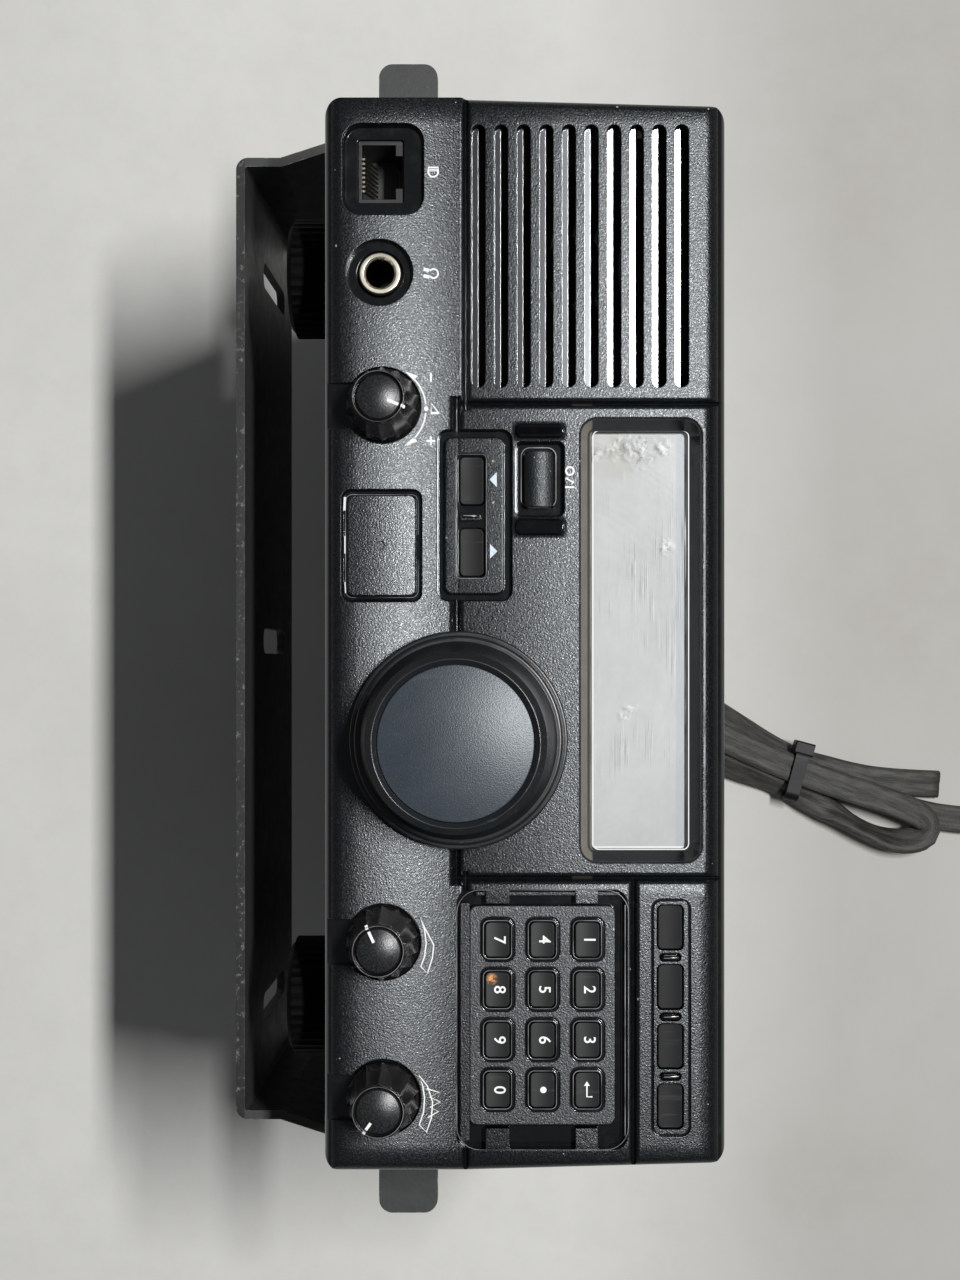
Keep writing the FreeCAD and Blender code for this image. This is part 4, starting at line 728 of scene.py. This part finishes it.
POWER_NORMALS = {
    0: (0, 1, 0), 1: (0, 1, 0.3), 2: (0, 0.7, 0.7),
    3: (0, 0, 1), 7: (-0.25, 0, 1), 8: (0, 0, 1),
    9: (-0.25, 0.1, 1), 10: (-0.55, 0.5, 0.8), 11: (-0.5, 1, 0.5),
    12: (0.6, 1, 0.45), 13: (1, 0.4, 0.6), 14: (0.8, -0.2, 1),
    15: (0.4, -0.2, 1), 16: (0.5, -0.2, 0.9), 17: (0.3, -0.1, 1),
    19: (0.2, 0, 1), 20: (0.1, 0, 1), 28: (0, 0, 1),
    32: (0, 0, 1), 33: (1, 0, 0.1), 34: (1, 0, 0),
}
ACCESSORY_ROUTE = [
    (-22.0, -9.0, 21.0), (-22.0, -9.0, 13.0), (-21.2, -3.5, 7.0),
    (-16.8, 8.0, 6.0), (-5.6, 25.0, 6.2), (9.6, 46.5, 6.2),
    (23.7, 69.5, 6.6), (37.7, 91.0, 7.4), (44.7, 111.0, 6.6),
    (47.7, 129.5, 3.8), (48.3, 146.0, 2.4),
]
ACCESSORY_NORMALS = {
    0: (0, 1, 0), 1: (0, 1, 0.3), 2: (0, 0.7, 0.7),
    3: (0, 0, 1), 5: (-0.3, 0.1, 1), 6: (-0.8, 0.4, 0.8),
    7: (-0.8, 0.3, 0.7), 8: (-0.25, 0, 1), 9: (0, 0, 1),
    10: (0.15, 0, 1),
}


def coil_points():
    """The coil's turns from outside to inside, then the short tail to the plug."""
    points, normals = [], []
    grow = 1.0 / math.cos(math.pi / STEPS_PER_TURN) ** 0.5
    for i in range(1, int(COIL_TURNS * STEPS_PER_TURN) + 1):
        turn = i / STEPS_PER_TURN
        r = (COIL_INNER_R + COIL_PITCH * (COIL_TURNS - turn)) * grow
        a = 2 * math.pi * turn
        points.append((COIL_CENTRE[0] + r * math.cos(a), COIL_CENTRE[1] + r * math.sin(a), COIL_Z))
        normals.append((math.cos(a), math.sin(a), 0.0))
    cx = COIL_CENTRE[0] - COIL_INNER_R + COIL_TAIL_R
    for degrees in (210, 240, 270):
        a = math.radians(degrees)
        x, y = COIL_TAIL_R * math.cos(a), COIL_TAIL_R * math.sin(a)
        points.append((cx + x, COIL_CENTRE[1] + y, COIL_Z))
        normals.append((math.cos(a), math.sin(a), 0.0))
    points.append((cx + 11.0, COIL_CENTRE[1] - COIL_TAIL_R, COIL_Z))
    normals.append((0.0, -1.0, 0.0))
    return points, normals


LEAST_STEP = 0.0015


def spline_points(name, route):
    """Points read from a smooth spline that has the route's points for its controls."""
    curve = bpy.data.curves.new(name, "CURVE")
    curve.dimensions = "3D"
    curve.resolution_u = 10
    spline = curve.splines.new("NURBS")
    spline.points.add(len(route) - 1)
    for point, place in zip(spline.points, route):
        point.co = (*at(*place), 1.0)
    spline.order_u = 3
    spline.use_endpoint_u = True
    holder = bpy.data.objects.new(name, curve)
    mesh = bpy.data.meshes.new_from_object(holder)
    line = []
    for vertex in mesh.vertices:
        if not line or (vertex.co - line[-1]).length > LEAST_STEP:
            line.append(vertex.co.copy())
    bpy.data.objects.remove(holder)
    bpy.data.curves.remove(curve)
    bpy.data.meshes.remove(mesh)
    return line


def normal_along(line, route, normals):
    """A facing for each point of the line, blended between the normals that are given."""
    marks = []
    last = len(line) - 1
    for index, normal in sorted(normals.items()):
        place = at(*route[index])
        share = index / (len(route) - 1)

        def distance(i):
            return abs(i / last - share) * 0.02 * (len(route) - 1) + (line[i] - place).length

        marks.append((min(range(len(line)), key=distance), Vector(normal).normalized()))
    facing = []
    for i in range(len(line)):
        before = max((m for m in marks if m[0] <= i), key=lambda m: m[0], default=marks[0])
        after = min((m for m in marks if m[0] >= i), key=lambda m: m[0], default=marks[-1])
        span = after[0] - before[0]
        t = (i - before[0]) / span if span else 0.0
        facing.append(before[1].lerp(after[1], t * t * (3 - 2 * t)))
    return facing


def flat_section(width, thick):
    """The outline of a flat twin lead: two rounded cores with a groove between them."""
    w, t = width / 2000.0, thick / 2000.0
    half = [(0.0, 0.80), (0.10, 0.84), (0.22, 0.97), (0.45, 1.0)]
    half += [(0.72, 0.98), (0.90, 0.80), (0.985, 0.42)]
    upper = [(-a * w, b * t) for a, b in reversed(half[1:])] + [(a * w, b * t) for a, b in half]
    return upper + [(a, -b) for a, b in reversed(upper)]


FLOOR_GAP = 0.0002


def lead_frames(line, facing):
    """The place, side and up of the flat section along a line. The lead lies on the
    surface where it would otherwise dip into it."""
    frames = []
    last = len(line) - 1
    for i, place in enumerate(line):
        ahead = (line[min(i + 1, last)] - line[max(i - 1, 0)]).normalized()
        side = ahead.cross(facing[i]).normalized()
        up = side.cross(ahead).normalized()
        reach = abs(side.z) * LEAD_W / 2000.0 + abs(up.z) * LEAD_T / 2000.0 * 0.8
        place = Vector((place.x, place.y, max(place.z, reach + FLOOR_GAP)))
        frames.append((place, side, up))
    return frames


def flat_lead(name, frames, body):
    """Sweeps the flat section along the frames."""
    section = flat_section(LEAD_W, LEAD_T)
    count = len(section)
    verts, faces, uvs = [], [], []
    run = 0.0
    for i, (place, side, up) in enumerate(frames):
        run += (place - frames[max(i - 1, 0)][0]).length
        for k, (a, b) in enumerate(section):
            verts.append(place + side * a + up * b)
            uvs.append((k / count, run * 100.0))
    end = (len(frames) - 1) * count
    for i in range(0, end, count):
        for k in range(count):
            a, b = i + k, i + (k + 1) % count
            faces.append((a, b, b + count, a + count))
    faces.append(tuple(range(count))[::-1])
    faces.append(tuple(range(end, end + count)))
    obj = mesh_piece(name, verts, faces, LEAD.mat, body)
    layer = obj.data.uv_layers.new(name="UVMap")
    for polygon in obj.data.polygons:
        values = [uvs[v] for v in polygon.vertices]
        wrap = max(u for u, _ in values) - min(u for u, _ in values) > 0.5
        for loop, (u, v) in zip(polygon.loop_indices, values):
            layer.data[loop].uv = (u + 1.0 if wrap and u < 0.5 else u, v)
    return obj


turns, turn_normals = coil_points()
whole_route = POWER_ROUTE + turns
facings = dict(POWER_NORMALS)
for i, normal in enumerate(turn_normals):
    facings[len(POWER_ROUTE) + i] = normal
line = spline_points("power_route", whole_route)
frames = lead_frames(line, normal_along(line, whole_route, facings))
power = flat_lead("power_flat_lead", frames, "radio")
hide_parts("power_lead", "lead_coil")
line = spline_points("accessory_route", ACCESSORY_ROUTE)
frames = lead_frames(line, normal_along(line, ACCESSORY_ROUTE, ACCESSORY_NORMALS))
accessory = flat_lead("accessory_flat_lead", frames, "radio")
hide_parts("accessory_lead")


# Printing


def prism_piece(name, outline, z, material=INK, thick=0.05, body="radio"):
    """A flat printed shape on a surface, from an outline in millimetres."""
    n = len(outline)
    low = [at(x, y, z) for x, y in outline]
    high = [at(x, y, z + thick) for x, y in outline]
    faces = [tuple(range(n, 2 * n)), tuple(range(n))[::-1]]
    faces += [(i, (i + 1) % n, (i + 1) % n + n, i + n) for i in range(n)]
    return mesh_piece(name, low + high, faces, material.mat, body, smooth=False)


def stroke_piece(name, points, width, z, material=INK, thick=0.05, closed=False, body="radio"):
    """A printed line of constant width through points in millimetres."""
    pts = [Vector(p) for p in points]
    n = len(pts)
    verts = []
    for i, p in enumerate(pts):
        before = pts[(i - 1) % n] if closed or i else p
        after = pts[(i + 1) % n] if closed or i < n - 1 else p
        d = (after - before).normalized()
        side = Vector((-d.y, d.x)) * width / 2
        a, b = p + side, p - side
        verts += [at(*a, z), at(*b, z), at(*b, z + thick), at(*a, z + thick)]
    faces = []
    for i in range(n if closed else n - 1):
        a, b = 4 * i, 4 * ((i + 1) % n)
        for k in range(4):
            j = (k + 1) % 4
            faces.append((a + k, a + j, b + j, b + k))
    if not closed:
        faces += [(3, 2, 1, 0), (4 * n - 4, 4 * n - 3, 4 * n - 2, 4 * n - 1)]
    return mesh_piece(name, verts, faces, material.mat, body, smooth=False)


def arc_points(cx, cy, r, start, end, steps=16):
    """Points along an arc, in millimetres, between two angles in degrees."""
    out = []
    for i in range(steps + 1):
        a = math.radians(start + (end - start) * i / steps)
        out.append((cx + r * math.cos(a), cy + r * math.sin(a)))
    return out


def ring(cx, cy, r, steps=24):
    return arc_points(cx, cy, r, 0, 360, steps)[:-1]


def marks_on(z, *pixels):
    """Places on a height of the panel, in millimetres, from pixels of the photograph."""
    return [on_panel(px, py, z) for px, py in pixels]


def face_shape(name, *pixels):
    """A printed shape on the face, from pixels of the photograph."""
    prism_piece(name, marks_on(FACE, *pixels), FACE)


def face_stroke(name, width, *pixels, **options):
    """A printed line on the face, through pixels of the photograph."""
    stroke_piece(name, marks_on(FACE, *pixels), width, FACE, **options)


KEY_COLS = [67.2, 78.2, 89.3, 100.3]
KEY_ROWS = [13.8, 3.9, -6.0]
KEY_MIDDLE = PLATE + 0.15
KEY_DISH_R = 10.2
DIGIT_SIZE = 3.65
DIGIT_BOLD = 0.03
DIGIT_RISE = 0.4
DIGIT_LIFT = 0.04


def key_digit(digit, x, y):
    """A printed digit that follows the hollow of its key's cap."""
    curve = bpy.data.curves.new("digit_" + digit, "FONT")
    curve.body = digit
    curve.size = DIGIT_SIZE / 1000.0
    curve.align_x = "CENTER"
    curve.align_y = "CENTER"
    curve.offset = DIGIT_BOLD / 1000.0
    curve.extrude = DIGIT_LIFT / 1000.0
    curve.resolution_u = 4
    holder = bpy.data.objects.new("digit_" + digit, curve)
    mesh = bpy.data.meshes.new_from_object(holder)
    mesh.transform(Matrix.Translation(at(x, y + DIGIT_RISE, KEY_MIDDLE + DIGIT_LIFT)))
    for vertex in mesh.vertices:
        gap = vertex.co.y * 1000.0 - SHIFT - y
        vertex.co.z += gap * gap / (2000.0 * KEY_DISH_R)
    bpy.data.objects.remove(holder)
    bpy.data.curves.remove(curve)
    mesh.materials.clear()
    place_mesh("digit_" + digit, mesh, INK.mat, f"key_{digit}_piece")


# The keys' digits; the two keys without a digit have a plain return hook and a dot
for index, digit in enumerate("123 456 7890"):
    if digit != " ":
        key_digit(digit, KEY_COLS[index % 4], KEY_ROWS[index // 4])

x, y = KEY_COLS[3], KEY_ROWS[0]
hook = [(x + 1.5, y + 1.1), (x + 1.5, y - 0.1), (x - 1.0, y - 0.1)]
stroke_piece("enter_hook", hook, 0.32, KEY_MIDDLE + 0.05, body="key_enter_piece", thick=0.1)
tip = [(x - 1.9, y - 0.1), (x - 0.9, y - 0.75), (x - 0.9, y + 0.55)]
prism_piece("enter_tip", tip, KEY_MIDDLE + 0.05, body="key_enter_piece")
dot = ring(x, KEY_ROWS[1] + 0.2, 0.7)
prism_piece("function_dot", dot, KEY_MIDDLE + 0.02, body="key_function_piece")

# Arrows beside the up and down buttons
ISLAND = FACE - 0.3
arrow = marks_on(ISLAND, (489.6, 479.5), (496.8, 472.2), (496.8, 487.2))
prism_piece("down_mark", arrow, ISLAND, PALE_INK)
arrow = marks_on(ISLAND, (497.3, 551.3), (490.0, 558.6), (490.0, 544.0))
prism_piece("up_mark", arrow, ISLAND, PALE_INK)

# The power mark: a ring, a slash and a bar
circle = ring(*on_panel(569.9, 471.0), 0.86)
stroke_piece("power_ring", circle, 0.36, FACE, closed=True)
face_stroke("power_slash", 0.34, (565.5, 478.0), (574.2, 482.8))
face_stroke("power_bar", 0.38, (565.2, 487.2), (574.4, 487.2))

# The mark over the microphone socket: a half disc with a grille across its flat side
MARK_LINE = 0.34
x, y = on_panel(433.2, 172.0)
outline = [(x - 1.0, y + 1.08), (x - 1.0, y - 1.08)] + arc_points(x, y, 1.08, -90, 90, 12)
stroke_piece("mic_mark", outline, MARK_LINE, FACE, closed=True)
face_stroke("mic_mark_bar_1", 0.2, (429.0, 169.4), (437.6, 169.4), thick=0.04)
face_stroke("mic_mark_bar_2", 0.2, (429.0, 170.9), (437.6, 170.9), thick=0.04)

# The mark over the headphone socket: a band with two cups
CUP_LINE = 0.72
LINE_OVER = 0.06
band = arc_points(*on_panel(433.6, 273.6), 1.0, -50, 230, 20)
stroke_piece("phones_mark_band", band, MARK_LINE, FACE)
face_stroke("phones_mark_left", CUP_LINE, (423.6, 269.2), (429.2, 270.6), thick=LINE_OVER)
face_stroke("phones_mark_right", CUP_LINE, (423.6, 275.8), (429.4, 277.3), thick=LINE_OVER)

# Scale beside the clarifier knob: an arc with an arrow at each end, a middle dot, minus,
# plus and a small triangle
SCALE_X = -49.6
SCALE_R = 9.5
SCALE_LINE = 0.31
SIGN_LINE = 0.42
for side, start, end in (("left", -44, -6), ("right", 6, 44)):
    arc = arc_points(SCALE_X, KNOB_Y, SCALE_R, 90 - start, 90 - end, 18)
    stroke_piece("clarifier_scale_" + side, arc, SCALE_LINE, FACE)
face_shape("clarifier_arrow_minus", (405.1, 371.5), (413.7, 380.2), (417.6, 375.9))
face_shape("clarifier_arrow_plus", (405.1, 445.2), (417.2, 441.6), (414.2, 437.0))
prism_piece("clarifier_dot", ring(SCALE_X, KNOB_Y + SCALE_R + 0.05, 0.48), FACE)
face_stroke("minus_mark", SIGN_LINE, (430.9, 373.0), (430.9, 381.8))
face_stroke("plus_mark_a", SIGN_LINE, (430.8, 436.4), (430.8, 445.4))
face_stroke("plus_mark_b", SIGN_LINE, (426.4, 440.9), (435.2, 440.9), thick=LINE_OVER)
face_stroke("centre_mark", 0.3, (431.2, 403.4), (431.2, 413.6), (439.2, 413.6), closed=True)
face_stroke("centre_mark_foot", 0.45, (431.4, 413.2), (438.4, 413.2), thick=LINE_OVER)

# Rising wedges beside the volume and squelch knobs, and a row of points for noise
WEDGE_LINE = 0.26
wedge = [(419.5, 917.7), (433.8, 945), (432.4, 958), (427.5, 973.2)]
wedge += [(420.8, 966.5), (424.4, 957), (426.2, 943), (424.6, 930)]
face_stroke("volume_wedge", WEDGE_LINE, *wedge, closed=True)
wedge = [(418.5, 1074.8), (427.5, 1086), (432.6, 1102), (431.4, 1118), (426.5, 1132)]
wedge += [(419.3, 1124.8), (423.6, 1112), (424.6, 1098), (422.6, 1085)]
face_stroke("squelch_wedge", WEDGE_LINE, *wedge, closed=True)
zigzag = [(426.5, 1088.5), (439.5, 1092.5), (429.5, 1097), (440.3, 1102), (430.0, 1107)]
zigzag += [(438.5, 1111.5), (428, 1117.5)]
face_stroke("squelch_noise", WEDGE_LINE, *zigzag, thick=LINE_OVER)

# Thin painted highlights along the edges and outlines round the wells, windows and keys


def rounded_outline(low, high, r):
    """A rectangle with rounded corners between two opposite corners, in millimetres."""
    (x0, y0), (x1, y1) = low, high
    corners = ((x1 - r, y1 - r), (x0 + r, y1 - r), (x0 + r, y0 + r), (x1 - r, y0 + r))
    out = []
    for i, (cx, cy) in enumerate(corners):
        out += arc_points(cx, cy, r, 90 * i, 90 * i + 90, 6)
    return out


def pixel_outline(box, r, z):
    """A rounded rectangle round a box that is given by its pixels in the photograph."""
    return rounded_outline(on_panel(box[0], box[1], z), on_panel(box[2], box[3], z), r)


def capsule_piece(name, x, y, z, length, width, height):
    """A low glossy bar with rounded ends and a rounded back. Its length lies along Y."""
    verts, faces = [], []
    rounds, rings = 20, 4
    straight = (length - width) / 2
    for k in range(rings):
        rise = math.pi / 2 * k / rings
        r = width / 2 * math.cos(rise)
        for i in range(rounds):
            a = 2 * math.pi * i / rounds
            end = math.copysign(straight, math.sin(a + 1e-6))
            place = (x + r * math.cos(a), y + r * math.sin(a) + end)
            verts.append(at(*place, z + height * math.sin(rise)))
    for k in range(0, (rings - 1) * rounds, rounds):
        for i in range(rounds):
            j = (i + 1) % rounds
            faces.append((k + i, k + j, k + rounds + j, k + rounds + i))
    faces.append(tuple((rings - 1) * rounds + i for i in range(rounds)))
    faces.append(tuple(range(rounds))[::-1])
    mesh_piece(name, verts, faces, GLOSS_BLACK.mat, "radio")


WINDOW_TOP = FACE - 3.6
ON_FACE = FACE + 0.01
# Each line is a painted highlight: the display's outline in pale plastic, the rest in the edge
# glint
for name, box, r, width, z, material in (
    ("display_outline", (593.0, 430.8, 688.6, 849.4), 1.3, 0.24, WINDOW_TOP, CLEAR_RIM_GLINT),
    ("display_outline_outer", (590.6, 427.6, 691.6, 852.4), 1.9, 0.10, WINDOW_TOP + 0.25, EDGE_GLINT),
    ("keypad_well_edge", (456.8, 890.0, 628.6, 1149.8), 5.0, 0.14, ON_FACE, EDGE_GLINT),
    ("island_line", (455.8, 454.2, 486.4, 578.4), 1.1, 0.13, ISLAND + 0.01, EDGE_GLINT),
    ("power_line", (521.2, 447.8, 556.0, 507.6), 1.9, 0.20, FACE - 1.9, EDGE_GLINT),
    ("blank_line", (345.6, 494.6, 418.2, 597.6), 1.5, 0.14, FACE - 0.05, EDGE_GLINT),
):
    line = pixel_outline(box, r, z)
    stroke_piece(name, line, width, z, material, thick=0.04, closed=True)
KEY_LINE_Z = PLATE + 0.26
# A painted highlight along each key's rim
for number, (x, y) in enumerate((x, y) for y in KEY_ROWS for x in KEY_COLS):
    rim = rounded_outline((x - 4.2, y - 3.1), (x + 4.2, y + 3.1), 1.3)
    stroke_piece(f"key_rim_{number + 1}", rim, 0.13, KEY_LINE_Z, EDGE_GLINT, closed=True)
# A painted highlight where the upper rim's rounding starts
lip = marks_on(FACE, (704.8, 428.0), (704.8, 862.0))
stroke_piece("upper_lip_line", lip, 0.26, FACE + 0.005, EDGE_GLINT, thick=0.03)

# Grained ledges beside the keypad plate, a second painted highlight line at its upper side,
# and painted glints along the crests of the two guard bars
LEDGE = FACE - 1.3
for name, box in (
    ("keypad_ledge_side", (460.4, 903.0, 469.6, 1141.0)),
    ("keypad_ledge_end", (476.0, 891.8, 620.0, 895.4)),
):
    prism_piece(name, pixel_outline(box, 0.4, LEDGE), LEDGE, LEDGE_GRAIN, 0.15)
WELL_LINE_Z = FACE - 0.6
line = marks_on(WELL_LINE_Z, (625.2, 905.0), (625.2, 1136.0))
stroke_piece("keypad_well_line", line, 0.2, WELL_LINE_Z, EDGE_GLINT)
face_stroke("guard_crest_a", 0.5, (531.0, 431.6), (553.0, 431.6), material=EDGE_GLINT)
face_stroke("guard_crest_b", 0.5, (531.0, 524.0), (553.0, 524.0), material=EDGE_GLINT)

# Black gaps at the blank cover's edge, dark joints deepened with painted shadow, and bare spots
for name, start, end, width, material in (
    ("blank_gap_top", (357.5, 493.6), (407.0, 493.6), 0.42, GLOSS_BLACK),
    ("blank_gap_bottom", (356.0, 598.0), (407.0, 598.4), 0.34, GLOSS_BLACK),
    ("blank_gap_side", (418.4, 534.5), (418.4, 560.0), 0.50, GLOSS_BLACK),
    ("blank_spot_a", (345.0, 497.0), (344.4, 510.5), 0.52, WORN_WHITE),
    ("blank_spot_b", (344.9, 536.0), (344.9, 553.5), 0.28, WORN_WHITE),
    ("blank_spot_c", (345.0, 582.0), (345.6, 593.0), 0.24, WORN_WHITE),
):
    stroke_piece(name, marks_on(FACE, start, end), width, ON_FACE, material)

# Low black bars in the pits beside the buttons, each with a painted glint along its back
GLINT_LINE = 0.16
for number, py in enumerate((958.0, 1016.8, 1076.6)):
    x, y = on_panel(670.6, py, FACE - 1.0)
    capsule_piece(f"strip_bar_{number + 1}", x, y, FACE - 0.9, 4.6, 1.6, 0.8)
    glint = [(x - 0.1, y - 1.5), (x - 0.1, y + 1.1)]
    stroke_piece(f"strip_glint_{number + 1}", glint, GLINT_LINE, FACE - 0.12, EDGE_GLINT)
x, y = on_panel(470.6, 516.4, FACE - 1.2)
capsule_piece("island_bar", x, y, FACE - 1.3, 4.6, 1.5, 1.0)
glint = [(x - 0.1, y - 1.6), (x - 0.1, y + 1.2)]
stroke_piece("island_glint", glint, GLINT_LINE, ISLAND, EDGE_GLINT)

# White pointers on the small knobs: a line over the cap, down into the groove, over the ring
# and onto the shoulder, and a thin painted highlight round each ring's crest
CAP_R = 4.6
CAP_EDGE = KNOB_TOP - 0.4
CAP_RISE = 0.5
GROOVE = KNOB_TOP - 1.1
SHOULDER = KNOB_TOP - 1.0
INK_T = 0.04
LINE_W = 0.62


def cap_height(r):
    return CAP_EDGE + CAP_RISE * (1.0 - (r / CAP_R) ** 2)


def pointer(name, x, turned, stations):
    """A printed line from the knob's middle outwards, through places given by their radius
    and height. It points at an angle in degrees clockwise from straight up."""
    a = math.radians(90 - turned)
    along = Vector((math.cos(a), math.sin(a)))
    side = Vector((-along.y, along.x)) * LINE_W / 2
    verts = []
    for lift in (INK_T, -INK_T):
        for r, z in stations:
            for s in (side, -side):
                p = Vector((x, KNOB_Y)) + along * r + s
                verts.append(at(p.x, p.y, z + lift))
    n = 2 * len(stations)
    faces = []
    for i in range(0, n - 2, 2):
        faces.append((i, i + 1, i + 3, i + 2))
        faces.append((i + n, i + n + 2, i + n + 3, i + n + 1))
        faces.append((i, i + 2, i + n + 2, i + n))
        faces.append((i + 1, i + n + 1, i + n + 3, i + 3))
    faces += [(0, n, n + 1, 1), (n - 2, n - 1, 2 * n - 1, 2 * n - 2)]
    mesh_piece(name, verts, faces, INK.mat, name.split("_")[0] + "_control", smooth=False)


def over_cap(start):
    return [(r, cap_height(r)) for r in (start, (start + CAP_R) / 2, CAP_R)]


# A thin painted highlight round each knob's ring
for name, x in (("clarifier", CLARIFIER_X), ("volume", VOLUME_X), ("squelch", SQUELCH_X)):
    crest = ring(x, KNOB_Y, 5.42, 36)
    body = name + "_control"
    stroke_piece(name + "_ring", crest, 0.09, KNOB_TOP + 0.005, EDGE_GLINT, 0.02, True, body)
OVER_RING = [(5.16, GROOVE), (5.22, KNOB_TOP), (5.42, KNOB_TOP), (5.64, KNOB_TOP - 0.2)]
for name, x, turned in (("clarifier", CLARIFIER_X, 21.5), ("volume", VOLUME_X, -116)):
    stations = over_cap(2.1) + [(4.64, GROOVE)] + OVER_RING + [(5.66, SHOULDER), (6.05, SHOULDER)]
    pointer(name + "_pointer", x, turned, stations)
pointer("squelch_pointer", SQUELCH_X, 124.5, over_cap(2.75))
pointer("squelch_ring_mark", SQUELCH_X, 124.5, OVER_RING)


# Floor, light and world

# Stains on the cloth, given as the window's are
FLOOR_BLOTS = (
    (912, 610, 34, 0.7),
    (950, 540, 30, 0.7),
    (840, 1190, 26, 0.7),
    (866, 225, 22, 0.7),
    (930, 90, 60, 0.7),
)


def floor_material():
    """Pale greige cloth, with a faint ring stain, scuffs and soft creases, and painted shade that
    darkens it towards +Y.
    """
    m = Nodes("floor_pale", (0.66, 0.655, 0.63), 0.85)
    cloud = m.noise(5.5, 6.0, 0.62, distortion=0.3)
    fine = m.noise(70.0, 5.0, 0.7)
    tone = m.mix(m.ramp(cloud, 0.35, 0.7), (0.69, 0.685, 0.66), (0.61, 0.605, 0.58))
    tone = m.mix(m.ramp(fine, 0.45, 0.75, 0.0, 0.30), tone, (0.56, 0.555, 0.53))
    # Painted shade: the cloth is darkened towards +Y
    away = m.ramp(m.axis("Y"), 0.030, 0.125, 0.0, 0.85)
    tone = m.mix(m.times(away, m.ramp(cloud, 0.3, 0.7, 1.0, 0.7)), tone, (0.37, 0.365, 0.34))
    uneven = m.ramp(m.noise(26.0, 5.0, 0.7), 0.30, 0.70, 0.15, 0.9)
    m.paint(m.times(m.spots(FLOOR_BLOTS, 0.0), uneven, 0.75), tone, (0.40, 0.375, 0.34))
    m.bump(fine, 0.12)
    m.bump(m.wave(1.6, (1.0, 0.35, 1.0), 6.0), 1.2)
    return m


FLOOR_REACH = 4.0
corners = [(s * FLOOR_REACH, t * FLOOR_REACH, 0) for s, t in ((-1, -1), (1, -1), (1, 1), (-1, 1))]
floor_mesh = bpy.data.meshes.new("floor")
floor_mesh.from_pydata(corners, [], [(0, 1, 2, 3)])
floor = bpy.data.objects.new("floor", floor_mesh)
floor_mesh.materials.append(floor_material().mat)
bpy.context.scene.collection.objects.link(floor)

# A strip lamp whose length lies along X
LAMP_AT = at(-134, 386, 1290)
LAMP_AIM = at(0, 0, 180)
lamp_data = bpy.data.lights.new("key_lamp", "AREA")
lamp_data.shape = "RECTANGLE"
lamp_data.size = 0.36
lamp_data.size_y = 0.05
lamp_data.energy = 18.5
lamp = bpy.data.objects.new("key_lamp", lamp_data)
back = (LAMP_AT - LAMP_AIM).normalized()
along = (Vector((1, 0, 0)) - back * back.x).normalized()
turn = Matrix((along, back.cross(along), back)).transposed().to_4x4()
lamp.matrix_world = Matrix.Translation(LAMP_AT) @ turn
bpy.context.scene.collection.objects.link(lamp)

world = bpy.data.worlds.new("world")
world.use_nodes = True
world.node_tree.nodes["Background"].inputs["Color"].default_value = (0.93, 0.96, 1.0, 1.0)
world.node_tree.nodes["Background"].inputs["Strength"].default_value = 0.09
bpy.context.scene.world = world
bpy.context.scene.view_settings.view_transform = "Standard"
